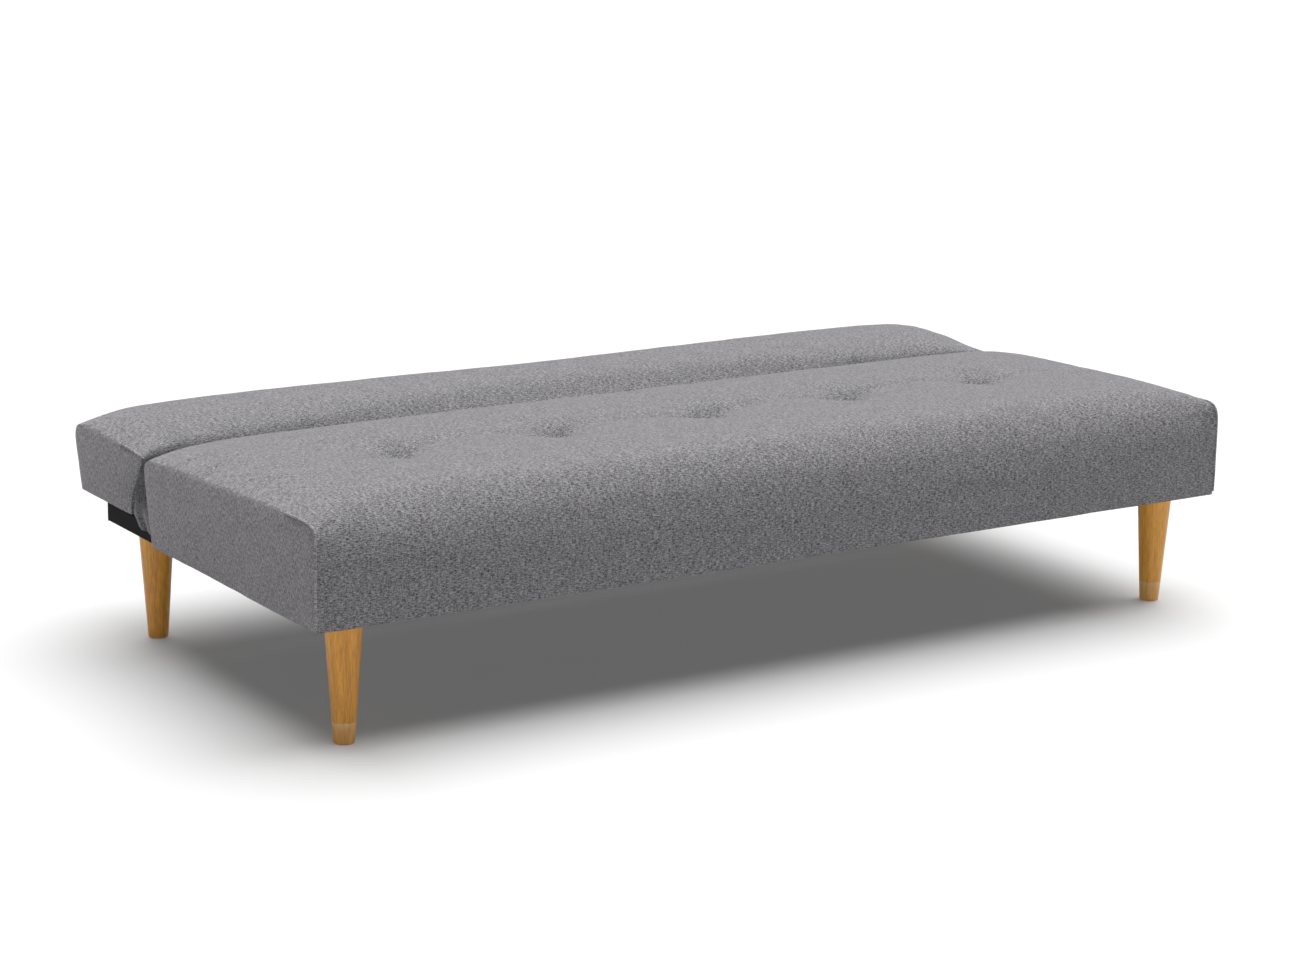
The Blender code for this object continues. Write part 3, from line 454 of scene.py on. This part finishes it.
class Upholstery:
    """A stuffed cover: one wrap of cloth over front, top and rear, and two sewn end panels."""

    def __init__(self, name, end_corners, middle_corners, split, crown, crown_powers):
        self.name = name
        self.split = split
        self.end_corners, self.middle_corners = end_corners, middle_corners
        self.crown, self.crown_powers = crown, crown_powers
        self.stations = station_places()
        self.build_wrap()
        self.build_ends()

    def build_wrap(self):
        rows = []
        for x in self.stations:
            inboard = HALF_LENGTH - abs(x)
            share = 1 - SHOULDER_SHARE * math.exp(-inboard / SHOULDER_LENGTH)
            share -= (1 - SHOULDER_SHARE) * math.exp(-inboard / PUFF_LENGTH)
            corners = [tuple(mix(a, b, share) for a, b in zip(end, middle))
                       for end, middle in zip(self.end_corners, self.middle_corners)]
            outline = section(corners, self.split)
            first, last = outline[:, 0].min(), outline[:, 0].max()
            across = 2 * (outline[:, 0] - first) / (last - first) - 1
            rise = smooth_step(WALL_STEPS * 0.55, WALL_STEPS * 1.3, np.minimum(
                np.arange(len(outline)), len(outline) - 1 - np.arange(len(outline))))
            power = np.where(across < 0, *self.crown_powers)
            outline[:, 1] += self.crown * mix(END_CROWN, 1, share) * (1 - np.abs(across) ** power) * rise
            rows.append(np.column_stack([np.full(len(outline), x), outline]))
        self.wrap = np.array(rows)
        steps = np.linalg.norm(np.diff(self.wrap[len(rows) // 2], axis=0), axis=1)
        self.along = np.concatenate([[0], np.cumsum(steps)])

    def build_ends(self):
        last = self.wrap.shape[1] - 1
        self.ends = {}
        for side, index in ((-1, 0), (1, -1)):
            loop = self.wrap[index]
            front = loop[:WALL_STEPS + 1]
            top = loop[WALL_STEPS:last - WALL_STEPS + 1]
            rear = loop[last - WALL_STEPS:][::-1]
            bottom = np.linspace(front[0], rear[0], TOP_STEPS + 1)
            grid = coons(front, rear, bottom, top)
            rows, columns = grid.shape[:2]
            v = np.linspace(0, 1, rows)[:, None]
            u = np.linspace(0, 1, columns)[None]
            bulge = np.sin(math.pi * v) ** 0.7 * np.sin(math.pi * u) ** 0.45
            grid[..., 0] += side * END_BULGE * bulge
            self.ends[side] = grid


SEAT_TOP_END, SEAT_TOP_END_REAR = 0.3655, 0.3420


def seat_corners(front_radius, rear_radius, front_top, rear_top):
    rear_lean = 0.030
    return [
        (FRONT_Y, SEAT_LOW.z, 0.0),
        (FRONT_Y, front_top, front_radius),
        (FRONT_Y + SEAT_DEPTH + rear_lean, rear_top, rear_radius),
        (FRONT_Y + SEAT_DEPTH, SEAT_LOW.z, 0.0)]


def back_corners(front_radius, rear_radius, front_top, rear_top):
    return [
        (FRONT_Y + BACK_FRONT, BACK_LOW.z, 0.0),
        (FRONT_Y + BACK_FRONT, BACK_LOW.z + 0.026, 0.018),
        (FRONT_Y + BACK_FRONT - 0.052, front_top, front_radius),
        (FRONT_Y + BACK_REAR + 0.0295, rear_top, rear_radius),
        (FRONT_Y + BACK_REAR, BACK_LOW.z, 0.0)]


def mesh_from_patches(name, patches):
    """Joins grids of (points, uv) into one mesh with a UV map in metres, welded where they meet."""
    points, faces, uvs = [], [], []
    for grid, uv in patches:
        rows, columns = grid.shape[:2]
        start = len(points)
        points += [tuple(p) for p in grid.reshape(-1, 3)]
        flat = uv.reshape(-1, 2)
        for r in range(rows - 1):
            for c in range(columns - 1):
                a, b = r * columns + c, r * columns + c + 1
                d, e = a + columns, b + columns
                faces.append((start + a, start + b, start + e, start + d))
                uvs.append((flat[a], flat[b], flat[e], flat[d]))
    mesh = bpy.data.meshes.new(name)
    mesh.from_pydata(points, [], faces)
    layer = mesh.uv_layers.new(name="weave")
    layer.data.foreach_set("uv", np.array(uvs, dtype=np.float32).ravel())
    bm = bmesh.new()
    bm.from_mesh(mesh)
    bmesh.ops.remove_doubles(bm, verts=bm.verts, dist=1e-5)
    bmesh.ops.recalc_face_normals(bm, faces=bm.faces)
    bm.to_mesh(mesh)
    bm.free()
    return mesh


def underside_patches(pad, band_x, band_y, ceiling):
    """The hem that turns under the frame and up to the ceiling above the dust cover."""
    loop_front = pad.wrap[:, 0]
    loop_rear = pad.wrap[:, -1]
    bottom_left = pad.ends[-1][0]
    bottom_right = pad.ends[1][0]
    middle_y = (loop_front[0, 1] + loop_rear[0, 1]) / 2
    half_y = (loop_rear[0, 1] - loop_front[0, 1]) / 2
    patches = []
    for edge in (loop_front, loop_rear, bottom_left, bottom_right):
        inner = edge.copy()
        inner[:, 0] *= (HALF_LENGTH - band_x) / HALF_LENGTH
        inner[:, 1] = middle_y + (edge[:, 1] - middle_y) * (half_y - band_y) / half_y
        raised = inner.copy()
        raised[:, 2] = ceiling
        grid = np.stack([edge, mix(edge, inner, 0.5), inner, raised])
        uv = grid[..., :2]
        patches.append((grid, uv))
    return patches


def upholstery_mesh(pad, band_x, band_y, ceiling):
    patches = []
    uv = np.stack(np.meshgrid(pad.along, pad.stations), axis=-1)[..., ::-1]
    patches.append((pad.wrap, uv))
    for side, grid in pad.ends.items():
        patches.append((grid, grid[..., [2, 1]]))
    under = underside_patches(pad, band_x, band_y, ceiling)
    patches += under
    # The ceiling spans the long way in one strip per step across; nobody sees it.
    front_edge, rear_edge = under[0][0][-1], under[1][0][-1]
    left_edge, right_edge = under[2][0][-1], under[3][0][-1]
    grid = coons(left_edge, right_edge, front_edge, rear_edge)
    patches.append((grid, grid[..., :2]))
    return mesh_from_patches(pad.name, patches)


def coordinates(mesh):
    points = np.empty(len(mesh.vertices) * 3)
    mesh.vertices.foreach_get("co", points)
    return points.reshape(-1, 3)


def move_to(mesh, points):
    mesh.vertices.foreach_set("co", points.ravel())
    mesh.update()


def tuft_holds(points):
    """How firmly the tufts' cords hold each point, from 0 to 1."""
    held = np.zeros(len(points))
    for centre in TUFT_CENTRES:
        r = np.hypot(points[:, 0] - centre, points[:, 1] - (FRONT_Y + TUFT_ROW))
        held = np.maximum(held, np.exp(-(r / 0.013) ** 2))
    return held * smooth_step(*ON_TOP, points[:, 2])


def pull_tufts(points, core_depth, funnel_depth):
    """Pulls the cloth down at each tuft, with soft creases that run out to both sides."""
    on_top = smooth_step(0.30, 0.36, points[:, 2])
    for index, centre in enumerate(TUFT_CENTRES):
        dx = points[:, 0] - centre
        dy = points[:, 1] - (FRONT_Y + TUFT_ROW)
        r = np.hypot(dx, dy)
        reach = np.where(dy < 0, TUFT_NEAR_REACH, TUFT_FAR_REACH)
        drop = core_depth * np.exp(-np.hypot(dx / TUFT_SIDE_REACH, dy / reach))
        drop += funnel_depth * np.exp(-(r / 0.055) ** 2)
        lean = 0.22 + 0.07 * math.sin(2.1 * index)
        for turn in (lean, -lean, math.pi / 2 - 0.2 * lean):
            along = np.abs(dx * math.cos(turn) + dy * math.sin(turn))
            across = dy * math.cos(turn) - dx * math.sin(turn)
            drop += TUFT_CREASE * np.exp(-(across / 0.009) ** 2) * np.exp(-(along / 0.045) ** 2)
        above = (points[:, 2] - on_top * drop - TIE_TOP - TIE_COVER) / TIE_COVER
        kept_above = TIE_TOP + TIE_COVER * (1 + np.logaddexp(0, above))
        points[:, 2] = np.where(on_top * drop > 1e-5, np.minimum(points[:, 2], kept_above), points[:, 2])


def pucker(points, depth):
    """Soft ripples where the wrap is gathered along the end panels."""
    inboard = HALF_LENGTH - np.abs(points[:, 0])
    phase = 115.0 * points[:, 1] + 2.2 * np.sin(31.0 * points[:, 1] + points[:, 0]) + 40.0 * inboard
    fade = np.exp(-inboard / 0.045) * smooth_step(0.0, 0.012, inboard)
    points[:, 2] += depth * fade * smooth_step(*ON_TOP, points[:, 2]) * np.sin(phase)


def refine_round_tufts(mesh):
    """Halves the grid's spacing round the tufts."""
    bm = bmesh.new()
    bm.from_mesh(mesh)
    edges = set()
    for face in bm.faces:
        centre = face.calc_center_median()
        behind = centre.y - FRONT_Y - TUFT_ROW
        near = any(math.hypot(centre.x - x, behind) < TUFT_FINE_RADIUS for x in TUFT_CENTRES)
        if near and centre.z > 0.33:
            edges.update(face.edges)
    bmesh.ops.subdivide_edges(bm, edges=list(edges), cuts=1, use_grid_fill=True)
    bm.to_mesh(mesh)
    bm.free()


def unevenness(points, normals, depth):
    """The slight waviness of foam under cloth."""
    for i, point in enumerate(points):
        wave = noise.noise(Vector((point[0] * 7.0, point[1] * 11.0, point[2] * 11.0)))
        wave += 0.5 * noise.noise(Vector((point[0] * 19.0, point[1] * 27.0, point[2] * 27.0 + 5.0)))
        points[i] += normals[i] * depth * wave


def stuff(obj, held, cap):
    """Swells the cloth with pressure from inside, moving no point much further than the cap."""
    group = obj.vertex_groups.new(name="held")
    levels = np.round(held * 20).astype(int)
    for level in range(1, 21):
        group.add(np.nonzero(levels == level)[0].tolist(), level / 20, "REPLACE")
    modifier = obj.modifiers.new("stuffing", "CLOTH")
    settings = modifier.settings
    settings.quality = 6
    settings.vertex_group_mass = "held"
    settings.use_pressure = True
    settings.uniform_pressure_force = STUFFING_PRESSURE
    settings.shrink_min = -CLOTH_STRETCH
    settings.effector_weights.gravity = 0.0
    modifier.point_cache.frame_start, modifier.point_cache.frame_end = 1, SIMULATION_FRAMES
    for frame_number in range(1, SIMULATION_FRAMES + 1):
        bpy.context.scene.frame_set(frame_number)
    evaluated = obj.evaluated_get(bpy.context.evaluated_depsgraph_get())
    start, end = coordinates(obj.data), coordinates(evaluated.to_mesh())
    evaluated.to_mesh_clear()
    obj.modifiers.remove(modifier)
    obj.vertex_groups.clear()
    bpy.context.scene.frame_set(1)
    move = end - start
    length = np.linalg.norm(move, axis=1, keepdims=True)
    move *= cap * np.tanh(length / cap) / np.maximum(length, 1e-9)
    move_to(obj.data, start + move)


def crease_corners(mesh, degrees=50, sharpness=0.75):
    bm = bmesh.new()
    bm.from_mesh(mesh)
    layer = bm.edges.layers.float.new("crease_edge")
    for edge in bm.edges:
        if edge.is_manifold and edge.calc_face_angle() > math.radians(degrees):
            edge[layer] = sharpness
    bm.to_mesh(mesh)
    bm.free()


def apply_modifiers(obj):
    mesh = bpy.data.meshes.new_from_object(obj.evaluated_get(bpy.context.evaluated_depsgraph_get()))
    obj.modifiers.clear()
    obj.data = mesh
    obj.data.name = obj.name


def subdivide(obj):
    modifier = obj.modifiers.new("smooth", "SUBSURF")
    modifier.levels = modifier.render_levels = 1
    apply_modifiers(obj)


def normals_of(mesh):
    normals = np.empty(len(mesh.vertices) * 3)
    mesh.vertices.foreach_get("normal", normals)
    return normals.reshape(-1, 3)


def held_by_frame(points, bottom, board_top, foam_top):
    """The cover is stapled under the boards and lies flat against them; above them it is free.

    The seam allowances stiffen the edges of the end panels.
    """
    on_boards = 1 - 0.7 * smooth_step(bottom + 0.012, board_top, points[:, 2])
    held = on_boards * (1 - smooth_step(board_top, foam_top, points[:, 2]))
    at_end = HALF_LENGTH - np.abs(points[:, 0]) < 0.0005
    return np.maximum(held, 0.75 * at_end)


def tube(name, points, radius, material):
    """A round bead along an open path, its ends closed."""
    curve = bpy.data.curves.new(name, "CURVE")
    curve.dimensions = "3D"
    curve.bevel_depth = radius
    curve.bevel_resolution = 2
    curve.use_fill_caps = True
    spline = curve.splines.new("POLY")
    spline.points.add(len(points) - 1)
    for target, point in zip(spline.points, points):
        target.co = (*point, 1.0)
    obj = bpy.data.objects.new(name, curve)
    bpy.context.scene.collection.objects.link(obj)
    mesh = bpy.data.meshes.new_from_object(obj.evaluated_get(bpy.context.evaluated_depsgraph_get()))
    bpy.data.objects.remove(obj)
    mesh.name = name
    bead = new_object(name, mesh, material)
    layer = mesh.uv_layers.new(name="weave") if not mesh.uv_layers else mesh.uv_layers[0]
    layer.name = "weave"
    places = coordinates(mesh)
    loops = np.empty(len(mesh.loops), dtype=np.int32)
    mesh.loops.foreach_get("vertex_index", loops)
    uv = np.column_stack([places[loops][:, 1] + places[loops][:, 0], places[loops][:, 2]])
    layer.data.foreach_set("uv", uv.astype(np.float32).ravel())
    smooth(mesh)
    return bead


def seam_path(obj, side, low):
    """Points of a finished cover's end seam, from the front hem over the top to the rear."""
    mesh = obj.data
    bm = bmesh.new()
    bm.from_mesh(mesh)
    layer = bm.edges.layers.float.get("crease_edge")
    edges = [edge for edge in bm.edges
             if edge[layer] > 0.3 and min(vert.co.z for vert in edge.verts) > low
             and min(side * vert.co.x for vert in edge.verts) > HALF_LENGTH - 0.012]
    links = {}
    for edge in edges:
        for vert in edge.verts:
            links.setdefault(vert.index, []).append(edge.other_vert(vert).index)
    ends = [index for index, others in links.items() if len(others) == 1]
    places = {v.index: v.co.copy() for v in bm.verts}
    bm.free()
    start = min(ends, key=lambda index: places[index].y)
    path, seen = [start], {start}
    while True:
        following = [index for index in links[path[-1]] if index not in seen]
        if not following:
            break
        path.append(following[0])
        seen.add(following[0])
    return [places[index] for index in path]


def seams(prefix, obj, low, body):
    for name, side in SIDES.items():
        path = seam_path(obj, side, low)
        bead = tube(f"{prefix}_seam_{name}", [point + Vector((side * 0.0007, 0, 0.0008)) for point in path],
                    SEAM_RADIUS, SEAM_HIGHLIGHT_CLOTH)
        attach(bead, body)


def build_seat():
    pad = Upholstery(
        "seat_upholstery",
        seat_corners(0.021, 0.020, SEAT_TOP_END, SEAT_TOP_END_REAR),
        seat_corners(0.050, 0.040, SEAT_TOP_END + 0.002, 0.353), (1, 2), 0.024, (4, 4))
    mesh = upholstery_mesh(pad, 0.033, 0.026, SEAT_DUST_HIGH.z + 0.0005)
    points = coordinates(mesh)
    pull_tufts(points, *TUFT_PULL_FIRST)
    move_to(mesh, points)
    obj = new_object("seat_upholstery", mesh, CLOTH)
    held = held_by_frame(points, SEAT_LOW.z, 0.290, 0.335)
    stuff(obj, np.maximum(held, tuft_holds(points)), 0.013)
    crease_corners(mesh)
    subdivide(obj)
    mesh = obj.data
    refine_round_tufts(mesh)
    points = coordinates(mesh)
    unevenness(points, normals_of(mesh), 0.0008)
    pull_tufts(points, *TUFT_PULL_LAST)
    pucker(points, 0.0006)
    move_to(mesh, points)
    smooth(mesh)
    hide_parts("seat_cover", "seat_foam")
    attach(obj, "base")
    seams("seat", obj, SEAT_LOW.z + 0.002, "base")
    return obj


def build_back():
    pad = Upholstery(
        "back_upholstery",
        back_corners(0.014, 0.024, 0.3450, 0.3480),
        back_corners(0.030, 0.034, 0.338, 0.352), (2, 3), 0.0295, (2.2, 4))
    mesh = upholstery_mesh(pad, 0.028, 0.012, BACK_DUST_HIGH.z + 0.0005)
    obj = new_object("back_upholstery", mesh, CLOTH)
    stuff(obj, held_by_frame(coordinates(mesh), BACK_LOW.z, 0.278, 0.325), 0.012)
    crease_corners(mesh)
    subdivide(obj)
    mesh = obj.data
    points = coordinates(mesh)
    unevenness(points, normals_of(mesh), 0.0009)
    pucker(points, 0.0006)
    move_to(mesh, points)
    smooth(mesh)
    seams("back", obj, BACK_LOW.z + 0.002, "back")
    cut_hinge_slots(obj)
    smooth(obj.data)
    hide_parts("back_cover", "back_foam")
    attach(obj, "back")
    return obj


def cut_hinge_slots(obj):
    """Opens the underside where the fixed hinge plates reach into the back."""
    for name, side in SIDES.items():
        inner, outer = LEAF_LOW.x - 0.0045, PIN_HIGH.x + 0.0015
        low = Vector((min(side * inner, side * outer), BACK_LOW.y - 0.03, BACK_LOW.z - 0.02))
        high = Vector((max(side * inner, side * outer), PIVOT.y + 0.036, LEAF_HIGH.z + 0.004))
        bm = bmesh.new()
        place = Matrix.Translation((low + high) / 2) @ Matrix.Diagonal((*(high - low), 1.0))
        bmesh.ops.create_cube(bm, size=1.0, matrix=place)
        mesh = bpy.data.meshes.new("slot")
        bm.to_mesh(mesh)
        bm.free()
        cutter = new_object("slot_" + name, mesh)
        modifier = obj.modifiers.new("slot", "BOOLEAN")
        modifier.operation = "DIFFERENCE"
        modifier.solver = "EXACT"
        modifier.object = cutter
        apply_modifiers(obj)
        bpy.data.objects.remove(cutter)


# Gussets ------------------------------------------------------------------------------------------

# Heights with how far behind the seat's front the facing edges of the end panels stand
SEAT_REAR_EDGE = ((0.200, 0.590), (0.217, 0.592), (0.235, 0.5975), (0.276, 0.6045), (0.309, 0.610),
                  (0.34, 0.615))
BACK_FRONT_EDGE = ((0.200, 0.634), (0.2205, 0.649), (0.236, 0.664), (0.242, 0.6695), (0.259, 0.669),
                   (0.287, 0.659), (0.3045, 0.650), (0.327, 0.628), (0.34, 0.626))


GUSSET_THICKNESS = 0.0012


def edge_at(edge, height):
    return FRONT_Y + np.interp(height, [z for z, y in edge], [y for z, y in edge])


def sheet_mesh(name, grid, uv, thickness):
    mesh = mesh_from_patches(name, [(grid, uv)])
    obj = new_object(name, mesh)
    modifier = obj.modifiers.new("cloth", "SOLIDIFY")
    modifier.thickness = thickness
    modifier.offset = 0
    apply_modifiers(obj)
    smooth(obj.data)
    return obj


def build_curtain(name, side):
    """The cloth that closes the gap at one end and hangs over the rail's outer face."""
    rows, columns = 44, 26
    top, hem_seat, hem_back = 0.333, 0.2165, 0.2205
    grid = np.zeros((rows, columns, 3))
    for r in range(rows):
        down = r / (rows - 1)
        for c in range(columns):
            across = c / (columns - 1)
            z = mix(top, mix(hem_seat, hem_back, across), down)
            seat_y = edge_at(SEAT_REAR_EDGE, z) - 0.006
            back_y = edge_at(BACK_FRONT_EDGE, z) + 0.009 * math.sin(math.pi * min(1.0, 0.1 + down)) ** 0.5
            y = mix(seat_y, back_y, across)
            over_rail = smooth_step(RAIL_HIGH.z + 0.030, RAIL_HIGH.z + 0.004, z)
            fold = math.exp(-((across - 0.34) / 0.20) ** 2)
            tuck = 0.015 * fold * (1 - over_rail) * math.sin(math.pi * min(1, down * 1.4))
            x = RAIL_HIGH.x - 0.0015 - tuck
            x += (0.0035 + 0.0015 * math.sin(9.0 * across + 1.0)) * over_rail
            x += 0.0012 * math.sin(16 * across + 3 * down) * down
            ridge = math.exp(-((across - 0.84) / 0.13) ** 2)
            ridge *= math.sin(math.pi * min(1.0, 0.12 + down)) ** 0.7
            x += 0.0030 * ridge * (1 - over_rail)
            x -= 0.006 * smooth_step(0.92, 1.0, across) * (1 - over_rail)
            grid[r, c] = (side * x, y, z)
    uv = grid[..., [2, 1]]
    obj = sheet_mesh(f"gusset_curtain_{name}", grid, uv, GUSSET_THICKNESS)
    obj.data.materials.append(GUSSET_SHADED_CLOTH)
    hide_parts(f"gusset_{name}")
    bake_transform(obj)


def build_sling():
    """The long cloth that hangs in the gap between the seat and the back."""
    rows, columns = 24, 130
    half = LEAF_LOW.x - 0.008
    top, depth = 0.306, 0.062
    grid = np.zeros((rows, columns, 3))
    for r in range(rows):
        t = r / (rows - 1)
        for c in range(columns):
            x = mix(-half, half, c / (columns - 1))
            sag = 1 - abs(2 * t - 1) ** 2.4
            wave = 0.0022 * noise.noise(Vector((x * 8.0, t * 1.5, 2.0)))
            wave += 0.0010 * noise.noise(Vector((x * 30.0, t * 3.0, 7.0)))
            z = top - depth * sag + wave * sag
            seat_y = edge_at(SEAT_REAR_EDGE, z) + 0.004
            back_y = edge_at(BACK_FRONT_EDGE, z) - 0.005
            y = mix(seat_y, back_y, smooth_step(0.08, 0.92, t)) + 1.2 * wave
            grid[r, c] = (x, y, z)
    uv = grid[..., :2]
    obj = sheet_mesh("gusset_sling_cloth", grid, uv, GUSSET_THICKNESS)
    obj.data.materials.append(GUSSET_SHADED_CLOTH)
    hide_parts("gusset_sling")
    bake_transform(obj)


# Cloths under the frames --------------------------------------------------------------------------

# The open bays between the boards, as distances behind the seat's front
SEAT_BAYS = ((0.100, 0.369), (0.411, 0.574))
BACK_BAYS = ((0.700, 0.850),)
NONWOVEN_THICKNESS = 0.0005


def build_dust_cover(prefix, low, high, lift, bays, sag, body):
    """Thin black cloth stapled under the boards, sagging a little between the rails."""
    rows, columns = 60, 140
    grid = np.zeros((rows, columns, 3))
    for r in range(rows):
        y = mix(low.y, high.y, r / (rows - 1))
        for c in range(columns):
            x = mix(low.x, high.x, c / (columns - 1))
            drop = 0.0
            for start, end in bays:
                share = (y - FRONT_Y - start) / (end - start)
                if 0 < share < 1:
                    ends = smooth_step(0.0, 0.12, min(x - low.x, high.x - x) - 0.02)
                    ripple = 1 + 0.35 * noise.noise(Vector((x * 9.0, y * 6.0, 1.0)))
                    drop = sag * math.sin(math.pi * share) ** 1.4 * ends * ripple
            grid[r, c] = (x, y, low.z + lift - drop)
    obj = sheet_mesh(f"{prefix}_dust_cloth", grid, grid[..., :2], NONWOVEN_THICKNESS)
    obj.data.materials.append(MATERIALS["dust_fabric"])
    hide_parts(f"{prefix}_dust_cover")
    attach(obj, body)


# Turned pieces ------------------------------------------------------------------------------------

FOOT_RADIUS = 0.0170
LEG_SIDES, TOGGLE_SIDES = 72, 24


def lathe(name, centre, profile, sides, material):
    """Turns a (radius, z) profile, given from the top down, about a vertical line."""
    bm = bmesh.new()
    rings = []
    turns = [2 * math.pi * k / sides for k in range(sides)]
    for radius, z in profile:
        around = turns if radius else turns[:1]
        rings.append([bm.verts.new((centre.x + radius * math.cos(a), centre.y + radius * math.sin(a), z))
                      for a in around])
    for above, below in zip(rings, rings[1:]):
        for k in range(sides):
            following = (k + 1) % sides
            corners = [above[k % len(above)], below[k % len(below)], below[following % len(below)],
                       above[following % len(above)]]
            bm.faces.new(list(dict.fromkeys(corners)))
    bmesh.ops.recalc_face_normals(bm, faces=bm.faces)
    mesh = bpy.data.meshes.new(name)
    bm.to_mesh(mesh)
    bm.free()
    smooth(mesh, 40)
    return new_object(name, mesh, material)


def build_leg(name):
    """A turned, tapered leg with eased edges."""
    low, high = corners_of("leg_" + name)
    centre, top_radius, height = (low + high) / 2, (high.x - low.x) / 2, high.z
    profile = [(0.0, height), (top_radius - 0.0012, height), (top_radius - 0.0004, height - 0.0005),
               (top_radius, height - 0.0015)]
    for i in range(1, 12):
        share = i / 12
        profile.append((mix(top_radius, FOOT_RADIUS + 0.0002, share), mix(height - 0.0015, 0.004, share)))
    for i in range(7):
        turn = math.pi / 2 * i / 6
        profile.append((FOOT_RADIUS - 0.003 + 0.003 * math.cos(turn), 0.003 - 0.003 * math.sin(turn)))
    profile.append((0.0, 0.0))
    wood = WORN_LEG_WOOD if "front" in name else LEG_WOOD
    obj = lathe("turned_leg_" + name, centre, profile, LEG_SIDES, wood)
    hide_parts("leg_" + name)
    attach(obj, "base")


def build_tie(number, low, high):
    """A taut twine with a domed toggle at each end; the upper one is pulled into the foam."""
    centre = (low + high) / 2
    button = [(0.0, 0.0), (0.0040, 0.0002), (0.0070, 0.0009), (0.0086, 0.0019), (0.0080, 0.0030),
              (TWINE_RADIUS, 0.0034)]
    profile = [(radius, TIE_TOP - depth) for radius, depth in button]
    profile += [(radius, low.z + depth) for radius, depth in reversed(button)]
    obj = lathe(f"buttoned_tie_{number}", centre, profile, TOGGLE_SIDES, MATERIALS["tuft_cord"])
    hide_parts(f"tuft_tie_{number}")
    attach(obj, "base")


# Room, light and camera ---------------------------------------------------------------------------

CAMERA_PLACE = (-2.9387, -4.4541, 1.5186)
CAMERA_YAW = 0.5805           # radians from +Y towards +X
CAMERA_PITCH = 0.2377         # radians below the horizon
CAMERA_ROLL = 0.0172
FRAME_WIDTH = 36.0            # millimetres
CAMERA_LENS = 86.64           # millimetres
FLOOR_REACH = 30.0            # from the middle of the floor to its edges
FLOOR_GLOW = 0.10
HORIZON_FADE = (0.09, 0.26)   # sines of the elevations where the room's pale wall fades out
HORIZON_LIGHT = 0.82
SKY_LIGHT = 0.03
PANEL_STRENGTH = 5.8
PANEL_SPREAD = 74.0           # degrees
PANEL_TILT = (-10, 13)        # degrees about X and Y


def camera_turn():
    """The camera's axes as a rotation matrix."""
    ahead = Vector((math.sin(CAMERA_YAW) * math.cos(CAMERA_PITCH),
                    math.cos(CAMERA_YAW) * math.cos(CAMERA_PITCH), -math.sin(CAMERA_PITCH)))
    level = Vector((math.cos(CAMERA_YAW), -math.sin(CAMERA_YAW), 0))
    upright = level.cross(ahead)
    right = level * math.cos(CAMERA_ROLL) + upright * math.sin(CAMERA_ROLL)
    up = upright * math.cos(CAMERA_ROLL) - level * math.sin(CAMERA_ROLL)
    return Matrix((right, up, -ahead)).transposed()


def build_camera():
    data = bpy.data.cameras.new("camera")
    data.sensor_width = FRAME_WIDTH
    data.lens = CAMERA_LENS
    obj = bpy.data.objects.new("camera", data)
    obj.matrix_world = Matrix.Translation(CAMERA_PLACE) @ camera_turn().to_4x4()
    bpy.context.scene.collection.objects.link(obj)
    bpy.context.scene.camera = obj


def sky_panel(name, strength, spread, tilt):
    """A very wide soft light from overhead, even over the whole floor. Angles are in degrees."""
    data = bpy.data.lights.new(name, "SUN")
    data.energy = strength
    data.angle = math.radians(spread)
    obj = bpy.data.objects.new(name, data)
    obj.rotation_euler = (math.radians(tilt[0]), math.radians(tilt[1]), 0)
    bpy.context.scene.collection.objects.link(obj)


def build_studio():
    bm = bmesh.new()
    bmesh.ops.create_grid(bm, x_segments=8, y_segments=8, size=FLOOR_REACH)
    mesh = bpy.data.meshes.new("floor")
    bm.to_mesh(mesh)
    bm.free()
    floor = new_object("floor", mesh, studio_floor("studio_floor"))
    world = bpy.data.worlds.new("studio")
    bpy.context.scene.world = world
    world.use_nodes = True
    nodes, links = world.node_tree.nodes, world.node_tree.links
    direction = nodes.new("ShaderNodeTexCoord")
    height = nodes.new("ShaderNodeSeparateXYZ")
    fade = nodes.new("ShaderNodeMapRange")
    fade.interpolation_type = "SMOOTHSTEP"
    for socket, value in zip(fade.inputs[1:5], (*HORIZON_FADE, HORIZON_LIGHT, SKY_LIGHT)):
        socket.default_value = value
    links.new(direction.outputs["Generated"], height.inputs[0])
    links.new(height.outputs["Z"], fade.inputs[0])
    background = nodes["Background"]
    background.inputs["Color"].default_value = (1.0, 1.0, 1.0, 1.0)
    links.new(fade.outputs[0], background.inputs["Strength"])
    sky_panel("overhead_panel", PANEL_STRENGTH, PANEL_SPREAD, PANEL_TILT)
    bpy.context.scene.view_settings.view_transform = "Standard"


dress_frame()
build_seat()
build_back()
for side_name, side_sign in SIDES.items():
    build_curtain(side_name, side_sign)
    for end in ("front", "rear"):
        build_leg(f"{end}_{side_name}")
build_sling()
for tie_number, (tie_low, tie_high) in enumerate(TIES, 1):
    build_tie(tie_number, tie_low, tie_high)
build_dust_cover("seat", SEAT_DUST_LOW, SEAT_DUST_HIGH, 0.0004, SEAT_BAYS, 0.006, "base")
build_dust_cover("back", BACK_DUST_LOW, BACK_DUST_HIGH, -0.0006, BACK_BAYS, 0.0010, "back")
build_camera()
build_studio()
